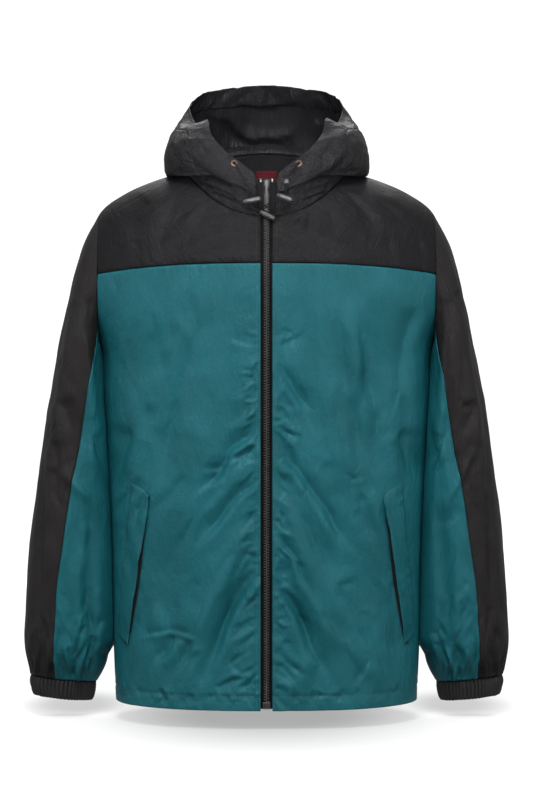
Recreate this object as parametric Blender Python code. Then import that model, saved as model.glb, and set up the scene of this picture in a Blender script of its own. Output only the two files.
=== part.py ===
"""A hooded zip windbreaker, filled out as if worn: every sewn panel is a thin wall of its own.

+Z is up, +X is the wearer's left and the front faces -Y. The origin is the middle of the neck
base. Sizes and tables are in millimetres; MM turns them into metres where a mesh is made.
Each surface is a function of two numbers: an angle round it and a run along it.
"""

import math
from bisect import bisect_right

import bmesh
import bpy
import numpy as np

MM = 0.001
SIDES = ((1, "left"), (-1, "right"))   # the wearer's own


def table(names, *rows):
    """Rows of numbers, kept as named columns."""
    return dict(zip(names.split(), zip(*rows)))


# ---- Driving sizes -------------------------------------------------------------------------
WALL = 1.5            # cloth with its turnings
SEAM_GAP = 0.3        # between two sewn panels
HALF_GAP = SEAM_GAP / 2
ARMHOLE_X = 228.0     # the armholes lie in the planes x = +-228
ZIP_EDGE_X = 8.0      # where each front ends beside the zip
HALF_DEPTH = 130.0    # of the body, about its middle

HEM_Z = -716.0
ARMPIT_RUN = 486.0    # runs are measured up the side from the hem
YOKE_RUN = 575.0
SHOULDER_RUN = 661.0
NECK_RUN = 790.0

SLEEVE_RUN = 636.0    # armhole to cuff seam, along the sleeve
CUFF_RUN = 26.0
CUFF_GATHERS = 32
CUFF_GATHER_HEIGHT = 1.3
CUFF_DENT = 0.6             # how far the cuff's inside and its dents lie in from its line
SLEEVE_GATHER_HEIGHT = 2.0
SLEEVE_GATHER_RUN = 620.0   # where the fullness above the cuff is deepest
SLEEVE_GATHER_REACH = 24.0

# One row for each level of the body, from the hem up to the neck seam.
TORSO = table(
    "run side_x side_y side_z front_y front_z back_y back_z square",
    (0, 207.0, 0, -716, -138, -716, 134, -716, 2.35),
    (78, 210.5, 0, -638, -139, -638, 135, -638, 2.35),
    (200, 213.0, 0, -516, -141, -516, 137, -516, 2.35),
    (326, 219.5, 0, -390, -142, -390, 138, -390, 2.4),
    (410, 225.0, 0, -306, -142, -306, 138, -306, 2.45),
    (ARMPIT_RUN, ARMHOLE_X, 0, -230, -141, -228, 138, -225, 2.5),
    (530, 246.0, 0, -186, -139, -178, 139, -176, 2.5),
    (YOKE_RUN, 255.0, 0, -141, -135.5, -125.5, 138, -128, 2.5),
    (620, 249.0, -2, -96, -131.5, -109, 134, -96, 2.45),
    (SHOULDER_RUN, ARMHOLE_X, -4, -49, -128, -95, 126, -56, 2.4),
    (700, 196.0, -6, -24.5, -124.5, -84, 113, -24, 2.35),
    (745, 152.0, -7, -5, -121, -73, 92, 11, 2.3),
    (NECK_RUN, 112.0, -8, 6, -118.5, -63, 70, 40, 2.3),
)

# One row for each ring of the sleeve: its outer and inner edge seen from the front. The inner
# edge presses against the body, where the sleeve's cloth is held SLEEVE_CLEAR off it.
SLEEVE_CLEAR = 1.2
SLEEVE = table(
    "run outer_x outer_z inner_x inner_z mid_y half_depth square",
    (0, ARMHOLE_X, -49, ARMHOLE_X, -230, 0, 88, 2.0),
    (30, 246.5, -82, 227.0, -262, 0, 87, 2.1),
    (75, 262.5, -126, 223.0, -300, 0, 84, 2.2),
    (130, 275.3, -175, 217.0, -352, 0, 81, 2.3),
    (200, 288.5, -240, 212.0, -405, 1, 79, 2.3),
    (280, 301.0, -312, 209.0, -455, 3, 77, 2.3),
    (380, 315.0, -419, 206.5, -530, 5, 74, 2.3),
    (470, 326.0, -512, 205.0, -595, 6, 71, 2.3),
    (550, 332.5, -600, 205.5, -645, 7, 66, 2.3),
    (600, 333.5, -648, 216.0, -668, 7, 57, 2.2),
    (SLEEVE_RUN, 327.0, -684, 234.0, -694, 7, 34, 2.1),
)
CUFF = table(
    "run outer_x outer_z inner_x inner_z mid_y half_depth square",
    (0, 326.5, -684.4, 234.4, -694.4, 7, 33, 2.1),
    (5, 328.0, -690, 234.6, -699, 7, 34, 2.1),
    (18, 325.5, -704, 237.0, -712.5, 7, 34, 2.1),
    (CUFF_RUN, 322.0, -711.5, 241.0, -719.5, 7, 32, 2.1),
)
# Where the front and back seams between top sleeve and under sleeve lie, in degrees from the
# sleeve's outer edge.
SLEEVE_SEAM = table(
    "run angle",
    (0, 140), (44, 129.5), (119, 104.5), (203, 94), (284, 89.5), (362, 83.5), (439, 79.5), (484, 76.5),
    (543, 76), (SLEEVE_RUN, 79),
)

# The left half of the hood. A turn is the angle round the neck, from 0 at the zip to 180 at the
# centre back. Each table is one line along the cloth, in the order in which it leaves the neck
# seam, with one row for each turn.
HOOD_TURNS = (0, 18, 38, 57, 73, 86, 102, 125, 152, 180)
HOOD_ROLL = table(
    "x y z",
    (8.0, -118.2, -54), (39.5, -114.5, -42), (73, -101, -23), (99, -74, -4), (111, -45, 6),
    (116, -21, 11), (114, 14, 15), (98, 46, 31), (61, 71, 51), (0, 79, 60),
)
HOOD_STAND = table(
    "x y z",
    (8.0, -118.3, -45), (37, -114.5, -22), (70, -100, -6), (98, -76, 3), (114, -47, 10),
    (122, -22, 14), (121, 17, 18), (109, 62, 26), (67, 102, 16), (0, 119, -6),
)
HOOD_FOLD = table(
    "x y z",
    (8.2, -118.8, -36), (38, -121, -24), (75, -108, -9), (111, -80, -6), (134, -52, -2),
    (139, -24, 3), (138, 20, 4), (123, 92, -10), (74, 139, -60), (0, 154, -88),
)
HOOD_BELLY = table(
    "x y z",
    (8.5, -119.3, -28), (39, -124, -12), (76, -114, 7), (117, -86, 16), (137.5, -56, 20),
    (140.5, -24, 19), (140, 22, 20), (134, 98, 14), (90, 166, -16), (0, 187, -34),
)
HOOD_CROWN = table(
    "x y z",
    (9.5, -119.8, -18), (36, -122, -1), (70, -113, 20), (102, -90, 42), (112, -63, 58),
    (119, -32, 66), (123, 10, 75), (121, 74, 76), (90, 132, 68), (0, 164, 68),
)
HOOD_RIM = table(
    "x y z",
    (13.5, -120, -8), (33, -118, 8), (58, -107, 28), (74.5, -88, 51), (81, -62, 74),
    (91.5, -38, 66), (105.5, 0, 91), (99, 40, 115.5), (69, 80, 133), (0, 100, 142),
)
HOOD_LINES = (HOOD_ROLL, HOOD_STAND, HOOD_FOLD, HOOD_BELLY, HOOD_CROWN, HOOD_RIM)

# Folds of the body cloth: lines seen from the front or, mirrored, from behind. A positive
# height stands out, a negative one sinks in. face is 1 for the front and -1 for the back.
BODY_FOLDS = table(
    "face x1 z1 x2 z2 reach height",
    (1, -128, -170, -156, -440, 18, -6.5),
    (1, -96, -180, -100, -540, 22, 6.5),
    (1, -50, -190, -60, -430, 15, -5.0),
    (1, -16, -450, -104, -650, 12, 6.5),
    (1, -20, -505, -92, -695, 10, -5.5),
    (1, -124, -450, -130, -710, 16, -5.5),
    (1, -160, -560, -100, -700, 13, 4.5),
    (1, -18, -380, -84, -465, 10, 4.5),
    (1, 58, -165, 52, -410, 15, -5.0),
    (1, 98, -170, 106, -480, 21, 6.5),
    (1, 134, -185, 154, -440, 16, -6.5),
    (1, 12, -255, 74, -355, 10, -5.0),
    (1, 14, -435, 96, -650, 12, 6.5),
    (1, 16, -500, 76, -700, 10, -5.5),
    (1, 114, -470, 134, -710, 18, -6.0),
    (1, 88, -600, 28, -705, 12, 4.5),
    (1, -56, -97, -196, -68, 12, -5.0),
    (1, -36, -78, -124, -120, 10, 4.0),
    (1, 56, -97, 192, -74, 12, -5.0),
    (1, 40, -78, 132, -118, 10, 4.0),
    (-1, -124, -150, -144, -480, 20, -7.0),
    (-1, -72, -160, -88, -580, 22, 7.0),
    (-1, 2, -190, 16, -580, 18, -5.5),
    (-1, 76, -150, 92, -540, 22, 7.0),
    (-1, 132, -170, 154, -520, 18, -7.0),
    (-1, -166, -520, -56, -650, 15, 6.0),
    (-1, 156, -540, 52, -670, 15, 6.0),
    (-1, -64, -560, 74, -615, 16, -5.5),
    (-1, -176, -100, -86, -196, 13, 5.0),
    (-1, 178, -104, 82, -200, 13, 5.0),
)
# Folds of the sleeve cloth. side is 1 for the left sleeve, -1 for the right one.
SLEEVE_FOLDS = table(
    "side angle1 run1 angle2 run2 reach height",
    (1, 100, 60, 90, 340, 13, -6.0), (1, 62, 80, 52, 390, 16, 5.5), (1, 20, 20, 16, 270, 15, -4.5),
    (1, 118, 250, 106, 610, 13, -5.5), (1, 92, 380, 98, 610, 10, 4.5), (1, 38, 300, 62, 600, 12, -4.5),
    (1, -40, 60, -60, 340, 16, -6.0), (1, -96, 70, -88, 370, 15, 5.5), (1, -70, 330, -100, 610, 14, -5.0),
    (1, 0, 330, -20, 600, 15, 4.0), (1, 58, 302, 114, 334, 10, 4.5), (1, -50, 320, -118, 298, 11, 5.0),
    (-1, 98, 80, 92, 360, 13, -6.0), (-1, 66, 60, 50, 370, 16, 5.5), (-1, 24, 30, 12, 290, 15, -4.5),
    (-1, 114, 270, 110, 610, 13, -5.5), (-1, 96, 400, 100, 610, 10, 4.5), (-1, 34, 320, 58, 600, 12, -4.5),
    (-1, -44, 50, -56, 360, 16, -6.0), (-1, -92, 90, -90, 350, 15, 5.5), (-1, -74, 350, -96, 610, 14, -5.0),
    (-1, -4, 350, -16, 600, 15, 4.0), (-1, 64, 332, 118, 312, 10, 4.5), (-1, -54, 298, -114, 332, 11, 5.0),
)
SLEEVE_MM_PER_DEGREE = 1.3   # round the middle of the sleeve
SEAM_RADIUS_SHARE = 0.8      # the sleeve's radius at its seams, as a share of its half depth

# How finely each wall is divided: across and along.
FRONT_CELLS = (12, 22)
FRONT_YOKE_CELLS = (12, 7)
BACK_CELLS = (20, 20)
BACK_YOKE_CELLS = (20, 7)
SLEEVE_CELLS = (12, 18)
CUFF_CELLS_LONG = 2
HOOD_STEPS = (1, 2, 2, 2, 3, 3)   # rows between one hood line and the next

# Slanted pocket welts, as seen from the front on the wearer's left; both are alike.
WELT = {
    "top_x": 181.0, "top_z": -417.0,       # upper back corner
    "front_x": 153.0, "front_z": -430.0,   # upper front corner, rounded
    "length": 205.0, "slant_front": 32.0, "slant_back": 20.0,   # its drop, and its way outwards
    "corner": 5.0, "lift": 0.6, "gape": 1.6,
}

# The zip.
CHAIN_HALF_WIDTH = 3.7
CHAIN_PROUD = 0.8
TAPE_WIDTH = 12.0
TAPE_THICKNESS = 1.0
TAPE_SINK = 0.8          # below the inside of the fronts
ZIP_BOW = 350.0          # radius with which tape and chain follow the body across
ZIP_BOTTOM_Z = -713.5
ZIP_TOP_Z = -12.5
BOX = {"half_width": 5.2, "height": 9.0, "depth": 3.6}
SLIDER = {"bottom_z": -27.0, "top_z": -14.5, "half_width": 4.6, "proud": 3.0, "round": 0.5}
PULL = {"half_width": 3.0, "thickness": 1.4, "pivot_z": -22.5, "clear": 0.4}
STOP = {"x": 7.7, "z": -17.8, "height": 4.4, "width": 2.4, "proud": 2.2}
SLIDER_WIDTHS = table("share half", (0, 0.72), (0.3, 0.9), (0.7, 1.0), (1, 0.86))
PULL_OUTLINE = table(
    "half down", (0.7, -0.7), (0.8, 1), (0.62, 6), (0.72, 12), (1.0, 18), (0.95, 22), (0.6, 25),
)

# Drawcord, its eyelets and what is threaded on it.
CORD_DIAMETER = 2.8
EYELET = {"x": 43.0, "z": 7.5, "outer": 4.8, "bore": 2.4, "thickness": 1.2}
TOGGLE_RADIUS = 3.3
TOGGLES = table(
    "name x1 y1 z1 x2 y2 z2",
    ("toggle_right", -31.0, -125.5, -44.6, -8.0, -124.5, -39.8),
    ("toggle_left", 14.0, -124.5, -34.8, 34.0, -125.5, -42.0),
    ("toggle_end", -8.2, -124.2, -57.5, 10.6, -124.2, -66.5),
)
CORD_ROUTES = {
    "cord_right_upper": ((-42.7, -120.4, 7.4), (-42.2, -123.4, 8.2), (-40.9, -126.0, 6.0),
                         (-35.5, -127.0, -4.0), (-27.8, -126.6, -17.0), (-24.7, -125.9, -28.0),
                         (-24.4, -125.2, -39.3)),
    "cord_right_lower": ((-21.8, -125.1, -46.5), (-19.8, -125.3, -51.4), (-14.0, -124.9, -54.9),
                         (-9.0, -124.3, -57.1)),
    "cord_left_upper": ((42.7, -120.4, 7.4), (42.2, -123.4, 8.2), (40.6, -126.2, 5.2),
                        (34.5, -127.0, -4.2), (29.6, -126.8, -9.8), (27.6, -126.8, -14.3)),
    "cord_left_middle": ((25.4, -126.8, -20.7), (24.9, -126.2, -27.5), (25.9, -125.2, -34.8)),
    "cord_left_lower": ((23.4, -125.1, -42.5), (24.3, -125.5, -48.0), (19.5, -125.3, -54.0),
                        (12.9, -124.6, -57.0), (9.6, -124.2, -61.7)),
}
BEAD = {"x": 26.5, "y": -126.8, "z": -17.5, "radius": 3.4}

LABEL = {"half_width": 15.0, "top_z": 17.0, "bottom_z": 3.0, "thickness": 0.8, "clear": 0.9}

# Colours as sRGB, with roughness and metallic.
FINISHES = {
    "teal": ((38, 96, 104), 0.48, 0.0),
    "black": ((38, 37, 39), 0.5, 0.0),
    "elastic": ((31, 30, 32), 0.6, 0.0),
    "tape": ((26, 26, 28), 0.8, 0.0),
    "plastic": ((30, 30, 32), 0.35, 0.0),
    "toggle": ((58, 58, 60), 0.4, 0.0),
    "metal": ((120, 92, 78), 0.32, 1.0),
    "stop": ((170, 168, 165), 0.35, 1.0),
    "cord": ((34, 33, 35), 0.75, 0.0),
    "label": ((150, 26, 40), 0.7, 0.0),
}


# ---- Small tools ---------------------------------------------------------------------------
def spline(knots, values, at):
    """Value at `at` on the smooth curve that goes through every (knot, value)."""
    last = len(knots) - 1
    k = min(max(bisect_right(knots, at) - 1, 0), last - 1)

    def slope(i):
        if i == 0 or i == last:
            j = min(i, last - 1)
            return (values[j + 1] - values[j]) / (knots[j + 1] - knots[j])
        before, after = knots[i] - knots[i - 1], knots[i + 1] - knots[i]
        rise_before = (values[i] - values[i - 1]) / before
        rise_after = (values[i + 1] - values[i]) / after
        return (rise_before * after + rise_after * before) / (before + after)

    span = knots[k + 1] - knots[k]
    t = (at - knots[k]) / span
    start, end = values[k], values[k + 1]
    bend_in, bend_out = slope(k) * span, slope(k + 1) * span
    return (
        start
        + bend_in * t
        + (3 * (end - start) - 2 * bend_in - bend_out) * t * t
        + (2 * (start - end) + bend_in + bend_out) * t ** 3
    )


def read(rows, column, at):
    """One column of a table, read smoothly at a run."""
    return spline(rows["run"], rows[column], at)


def ease(value):
    """0 below 0, 1 above 1, smooth between."""
    value = min(max(value, 0.0), 1.0)
    return value * value * (3 - 2 * value)


def steps(start, end, count):
    """count + 1 even values from start to end."""
    return [start + (end - start) * i / count for i in range(count + 1)]


def unit(vector):
    return vector / np.linalg.norm(vector)


def fold_height(a, b, a1, b1, a2, b2, reach, height):
    """What one fold adds at (a, b): a bell across its line, fading out at both its ends."""
    da, db = a2 - a1, b2 - b1
    length = math.hypot(da, db)
    along = ((a - a1) * da + (b - b1) * db) / length ** 2
    if along <= 0 or along >= 1:
        return 0.0
    off = ((a - a1) * db - (b - b1) * da) / length
    return height * math.exp(-((off / reach) ** 2)) * math.sin(math.pi * along)


def across_normal(surface, u, v, du=0.01, dv=0.5):
    """Unit normal of surface(u, v), from its slopes in both directions."""
    along_u = surface(u + du, v) - surface(u - du, v)
    along_v = surface(u, v + dv) - surface(u, v - dv)
    return unit(np.cross(along_u, along_v))


# ---- The surfaces that the panels lie on ---------------------------------------------------
def torso(angle, run):
    """Body surface without folds. The angle is 0 at the left side, 90 degrees at the front."""
    cosine, sine = math.cos(angle), math.sin(angle)
    power = 2 / read(TORSO, "square", run)
    face = "front" if sine >= 0 else "back"
    side_y, side_z = read(TORSO, "side_y", run), read(TORSO, "side_z", run)
    return np.array((
        math.copysign(read(TORSO, "side_x", run) * abs(cosine) ** power, cosine),
        side_y + (read(TORSO, face + "_y", run) - side_y) * abs(sine) ** power,
        side_z + (read(TORSO, face + "_z", run) - side_z) * sine * sine,
    ))


def angle_at_x(x, run):
    """Angle, from 0 to 90 degrees, at which the body surface is x away from the middle."""
    share = min(abs(x) / read(TORSO, "side_x", run), 1.0)
    return math.acos(share ** (read(TORSO, "square", run) / 2))


def torso_normal(angle, run):
    """Outward normal, read just off the sides, front and back where the curve's slope jumps."""
    turn = math.degrees(angle) % 90
    if min(turn, 90 - turn) < 1.5:
        around = (angle - math.radians(3), angle + math.radians(3))
        return unit(sum(-across_normal(torso, near, run) for near in around))
    return -across_normal(torso, angle, run)


def body_folds(point, run, front):
    """Height of all body folds here. None at the zip, the neck seam, the armholes and sides."""
    x, z = point[0], point[2]
    face = 1 if front else -1
    total = 0.0
    for row in zip(*BODY_FOLDS.values()):
        if row[0] == face:
            total += fold_height(x, z, *row[1:])
    edge = min(read(TORSO, "side_x", run), ARMHOLE_X)
    total *= ease((edge - abs(x)) / 26) * ease((NECK_RUN - run) / 24)
    if front:
        total *= ease((abs(x) - TAPE_WIDTH) / 16)
    return total


def body_wall(angle, run, lift=0.0, thickness=WALL):
    """Outer and inner point of the body's wall, moved out by lift."""
    point = torso(angle, run)
    normal = torso_normal(angle, run)
    height = body_folds(point, run, math.sin(angle) >= 0) + lift
    return point + normal * height, point + normal * (height - thickness)


def sleeve_shape(angle, run):
    """A ring's outline with both half sizes 1: the armhole's at the top, then a soft oval."""
    cosine, sine = math.cos(angle), math.sin(angle)
    power = 2 / read(SLEEVE, "square", run)
    oval = np.array((
        math.copysign(abs(cosine) ** power, cosine), math.copysign(abs(sine) ** power, sine)))
    share = ease(run / 110)
    if share >= 1:
        return oval
    level = (ARMPIT_RUN + SHOULDER_RUN) / 2 + (SHOULDER_RUN - ARMPIT_RUN) / 2 * cosine
    on_body = torso(math.copysign(angle_at_x(ARMHOLE_X, level), sine), level)
    middle_z = (SLEEVE["outer_z"][0] + SLEEVE["inner_z"][0]) / 2
    half_height = (SLEEVE["outer_z"][0] - SLEEVE["inner_z"][0]) / 2
    armhole = np.array((
        (on_body[2] - middle_z) / half_height,
        -(on_body[1] - SLEEVE["mid_y"][0]) / SLEEVE["half_depth"][0]))
    return armhole * (1 - share) + oval * share


def ring_point(rows, shape, run):
    """A ring's point, from a table of outer and inner edges and a shape of half sizes 1."""
    outer = np.array((read(rows, "outer_x", run), read(rows, "outer_z", run)))
    inner = np.array((read(rows, "inner_x", run), read(rows, "inner_z", run)))
    x, z = (outer + inner) / 2 + (outer - inner) / 2 * shape[0]
    y = read(rows, "mid_y", run) - read(rows, "half_depth", run) * shape[1]
    return np.array((x, y, z))


def body_side_x(y, z):
    """How far the left side of the body reaches at a depth and a height."""
    if z >= TORSO["side_z"][5]:
        return ARMHOLE_X
    run = max(z - HEM_Z, 0.0)
    square = read(TORSO, "square", run)
    depth = read(TORSO, "front_y" if y < 0 else "back_y", run)
    share = min(abs(y / depth), 1.0)
    return read(TORSO, "side_x", run) * (1 - share ** square) ** (1 / square)


def sleeve(angle, run):
    """Left sleeve without folds. The angle is 0 at the outer edge, 90 degrees at the front."""
    point = ring_point(SLEEVE, sleeve_shape(angle, run), run)
    if abs(math.degrees(angle) % 360 - 180) < 90 and point[2] > HEM_Z:
        clear = SLEEVE_CLEAR * ease(run / 40)
        point[0] = max(point[0], body_side_x(point[1], point[2]) + clear)
    return point


def cuff(angle, run):
    """Left cuff without its gathers."""
    cosine, sine = math.cos(angle), math.sin(angle)
    power = 2 / read(CUFF, "square", run)
    oval = (math.copysign(abs(cosine) ** power, cosine), math.copysign(abs(sine) ** power, sine))
    return ring_point(CUFF, oval, run)


def ring_normal(surface, angle, run):
    """Outward normal of a sleeve or cuff, read on both sides of the quarter points."""
    turn = math.degrees(angle) % 90
    run = max(run, 1.0)
    if min(turn, 90 - turn) < 1.5:
        around = (angle - math.radians(3), angle + math.radians(3))
        return unit(sum(across_normal(surface, near, run) for near in around))
    return across_normal(surface, angle, run)


def sleeve_folds(angle, run, side):
    """Height of the sleeve's folds; none towards the body, at the armhole or at the cuff."""
    degrees = (math.degrees(angle) + 180) % 360 - 180
    total = 0.0
    for row in zip(*SLEEVE_FOLDS.values()):
        if row[0] == side:
            angle1, run1, angle2, run2, reach, height = row[1:]
            scale = SLEEVE_MM_PER_DEGREE
            total += fold_height(
                degrees * scale, run, angle1 * scale, run1, angle2 * scale, run2, reach, height)
    total *= ease(run / 60) * ease((SLEEVE_RUN - run) / 30)
    return total * ease((150 - abs(degrees)) / 30)


def neck_angle(turn):
    """Angle on the body of a turn round the neck, no nearer the middle than the zip edge."""
    return min(math.radians(90 - turn), angle_at_x(ZIP_EDGE_X, NECK_RUN))


def hood_line(line, turn):
    """Point on one of the hood's lines, which go on as a mirror image past the centre back."""
    turns = HOOD_TURNS + (2 * HOOD_TURNS[-1] - HOOD_TURNS[-2],)
    mirror = {"x": -1, "y": 1, "z": 1}
    return np.array([spline(turns, line[axis] + (mirror[axis] * line[axis][-2],), turn)
                     for axis in ("x", "y", "z")])


def hood(turn, row):
    """Left half of the hood. row counts its lines, from 0 at the neck seam to 6 at the rim."""
    points = [torso(neck_angle(turn), NECK_RUN)] + [hood_line(line, turn) for line in HOOD_LINES]
    lengths = [0.0]
    for near, far in zip(points, points[1:]):
        lengths.append(lengths[-1] + max(np.linalg.norm(far - near), 1.0))
    k = min(int(row), len(points) - 2)
    reach = lengths[k] + (lengths[k + 1] - lengths[k]) * (row - k)
    return np.array([spline(lengths, [p[axis] for p in points], reach) for axis in range(3)])


def hood_normal(turn, row):
    """Normal of the hood cloth on its outer side."""
    turn = min(max(turn, 5), 178)
    row = min(max(row, 0.03), len(HOOD_LINES) - 0.03)
    return across_normal(hood, turn, row, 0.5, 0.02)


# ---- Meshes --------------------------------------------------------------------------------
def linear(channel):
    """One sRGB channel from 0 to 255, as Blender's linear value."""
    share = channel / 255
    return share / 12.92 if share <= 0.04045 else ((share + 0.055) / 1.055) ** 2.4


def finish_of(name, finish):
    """The object's own material."""
    colour, roughness, metallic = FINISHES[finish]
    material = bpy.data.materials.new(name + "_finish")
    material.use_nodes = True
    shader = material.node_tree.nodes["Principled BSDF"]
    shader.inputs["Base Color"].default_value = (*map(linear, colour), 1)
    shader.inputs["Roughness"].default_value = roughness
    shader.inputs["Metallic"].default_value = metallic
    return material


def add_solid(name, points, faces, finish, smooth=True):
    """A closed body from points in millimetres."""
    mesh = bpy.data.meshes.new(name)
    mesh.from_pydata([tuple(float(c) * MM for c in p) for p in points], [], faces)
    shape = bmesh.new()
    shape.from_mesh(mesh)
    bmesh.ops.triangulate(shape, faces=shape.faces)
    bmesh.ops.recalc_face_normals(shape, faces=shape.faces)
    shape.to_mesh(mesh)
    shape.free()
    if smooth:
        mesh.shade_smooth()
        mesh.set_sharp_from_angle(angle=math.radians(50))
    mesh.materials.append(finish_of(name, finish))
    item = bpy.data.objects.new(name, mesh)
    bpy.context.collection.objects.link(item)
    return item


def add_wall(name, grid, finish, closed=False):
    """A wall from rows of (outer, inner) points; closed walls go round to their first column."""
    rows, columns = len(grid), len(grid[0])
    points = [pair[0] for line in grid for pair in line] + [pair[1] for line in grid for pair in line]
    inside = rows * columns

    def outer(i, j):
        return i * columns + j % columns

    faces = []
    for i in range(rows - 1):
        for j in range(columns if closed else columns - 1):
            quad = (outer(i, j), outer(i, j + 1), outer(i + 1, j + 1), outer(i + 1, j))
            faces.append(quad)
            faces.append(tuple(inside + p for p in reversed(quad)))
    around = range(columns if closed else columns - 1)
    border = [(outer(0, j), outer(0, j + 1)) for j in around]
    border += [(outer(rows - 1, j + 1), outer(rows - 1, j)) for j in around]
    if not closed:
        border += [(outer(i + 1, 0), outer(i, 0)) for i in range(rows - 1)]
        border += [(outer(i, columns - 1), outer(i + 1, columns - 1)) for i in range(rows - 1)]
    faces += [(b, a, inside + a, inside + b) for a, b in border]
    return add_solid(name, points, faces, finish)


def mirrored(grid, side):
    """The same wall on the wearer's left (1) or, mirrored, on the right (-1)."""
    flip = np.array((side, 1, 1))
    return [[(a * flip, b * flip) for a, b in line] for line in grid]


# ---- Body panels ---------------------------------------------------------------------------
def panel_runs(low, high, count):
    """Levels of a panel, close together at the armpit and shoulder, where the armhole turns."""
    if low < ARMPIT_RUN < high:
        above = round(count * 0.28)
        upper = [ARMPIT_RUN + (high - ARMPIT_RUN) * share ** 2 for share in steps(0, 1, above)]
        return steps(low, ARMPIT_RUN, count - above) + upper[1:]
    below = round(count * 0.57)
    lower = [SHOULDER_RUN - (SHOULDER_RUN - low) * share ** 2 for share in steps(1, 0, below)]
    return lower + steps(SHOULDER_RUN, high, count - below)[1:]


def outer_angle(run):
    """Where a panel ends at the side: at the side seam, or at the armhole above the armpit."""
    if ARMPIT_RUN < run < SHOULDER_RUN:
        return angle_at_x(ARMHOLE_X - HALF_GAP, run)
    return math.asin((HALF_GAP / HALF_DEPTH) ** (read(TORSO, "square", run) / 2))


def kept_in_armhole(pair):
    """A wall's two points, held on the body's side of the armhole planes."""
    limit = ARMHOLE_X - HALF_GAP
    return tuple(np.array((min(max(p[0], -limit), limit), p[1], p[2])) for p in pair)


def front_grid(side, low, high, cells):
    """Half a front, from the zip edge out to the side."""
    grid = []
    for run in panel_runs(low, high, cells[1]):
        start, end = angle_at_x(ZIP_EDGE_X, run), outer_angle(run)
        line = []
        for angle in steps(start, end, cells[0]):
            line.append(kept_in_armhole(body_wall(angle if side > 0 else math.pi - angle, run)))
        grid.append(line)
    return grid


def back_grid(low, high, cells):
    """The whole back, from one side to the other."""
    grid = []
    for run in panel_runs(low, high, cells[1]):
        end = outer_angle(run)
        line = []
        for angle in steps(-end, end - math.pi, cells[0]):
            line.append(kept_in_armhole(body_wall(angle, run)))
        grid.append(line)
    return grid


def add_body_panels():
    panel_top, yoke_bottom, yoke_top = YOKE_RUN - HALF_GAP, YOKE_RUN + HALF_GAP, NECK_RUN - HALF_GAP
    for side, word in SIDES:
        add_wall(f"front_{word}", front_grid(side, 0, panel_top, FRONT_CELLS), "teal")
        yoke = front_grid(side, yoke_bottom, yoke_top, FRONT_YOKE_CELLS)
        add_wall(f"front_yoke_{word}", yoke, "black")
    add_wall("back", back_grid(0, panel_top, BACK_CELLS), "teal")
    add_wall("back_yoke", back_grid(yoke_bottom, yoke_top, BACK_YOKE_CELLS), "black")


# ---- Sleeves and cuffs ---------------------------------------------------------------------
def sleeve_grid(side, start_of, end_of):
    """Part of a sleeve between two angles, which are functions of the run."""
    across, along = SLEEVE_CELLS
    grid = []
    for i in range(along + 1):
        run = (SLEEVE_RUN - SEAM_GAP) * (i / along) ** 0.93
        fullness = math.exp(-(((run - SLEEVE_GATHER_RUN) / SLEEVE_GATHER_REACH) ** 2))
        line = []
        for j, angle in enumerate(steps(start_of(run), end_of(run), across)):
            normal = ring_normal(sleeve, angle, run)
            gather = SLEEVE_GATHER_HEIGHT * fullness * (1 if j % 2 == 0 else -1)
            towards_body = ease((abs(math.degrees(angle) % 360 - 180) - 25) / 20)
            height = sleeve_folds(angle, run, side) + gather * towards_body
            outer = sleeve(angle, run) + normal * height
            inner = outer - normal * WALL
            if i == 0:
                outer[0] = ARMHOLE_X + HALF_GAP
                inner[0] = max(outer[0], outer[0] - normal[0] * WALL)
            line.append((outer, inner))
        grid.append(line)
    return mirrored(grid, side)


def add_sleeves():
    def seam_angle(run):
        return math.radians(read(SLEEVE_SEAM, "angle", run))

    def half_gap(run):
        return HALF_GAP / (read(SLEEVE, "half_depth", run) * SEAM_RADIUS_SHARE)

    for side, word in SIDES:
        top = sleeve_grid(side, lambda run: -seam_angle(run) + half_gap(run),
                          lambda run: seam_angle(run) - half_gap(run))
        under = sleeve_grid(side, lambda run: seam_angle(run) + half_gap(run),
                            lambda run: 2 * math.pi - seam_angle(run) - half_gap(run))
        add_wall(f"sleeve_top_{word}", top, "black")
        add_wall(f"sleeve_under_{word}", under, "teal")


def add_cuffs():
    """Elastic cuffs: their gathers are raised on the outside over a plain inside."""
    columns = 2 * CUFF_GATHERS
    for side, word in SIDES:
        grid = []
        for run in steps(SEAM_GAP, CUFF_RUN, CUFF_CELLS_LONG):
            line = []
            for j in range(columns):
                angle = 2 * math.pi * j / columns
                point = cuff(angle, run)
                normal = ring_normal(cuff, angle, run)
                gather = CUFF_GATHER_HEIGHT * (j % 2)
                inner = point - normal * (WALL + CUFF_DENT)
                line.append((point + normal * (gather - CUFF_DENT), inner))
            grid.append(line)
        add_wall(f"cuff_{word}", mirrored(grid, side), "elastic", closed=True)


# ---- Hood ----------------------------------------------------------------------------------
def hood_rows():
    """Where the hood's rows lie, counted in its lines."""
    rows = []
    for k, count in enumerate(HOOD_STEPS):
        rows += [k + i / count for i in range(count)]
    return rows + [len(HOOD_STEPS)]


def hood_turns():
    """The hood's columns: those of the yokes, so that both sides of the neck seam match."""
    start, side = angle_at_x(ZIP_EDGE_X, NECK_RUN), outer_angle(NECK_RUN)
    front = steps(start, side, FRONT_YOKE_CELLS[0])
    back = steps(-side, side - math.pi, BACK_YOKE_CELLS[0])[:BACK_YOKE_CELLS[0] // 2 + 1]
    return [90 - math.degrees(angle) for angle in front + back]


def neck_edge(turn):
    """The hood's first two points: the yoke's wall at the neck seam, a seam's gap further on."""
    angle = neck_angle(turn)
    onward = unit(torso(angle, NECK_RUN) - torso(angle, NECK_RUN - 2)) * SEAM_GAP
    outer, inner = body_wall(angle, NECK_RUN)
    return outer + onward, inner + onward


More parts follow.
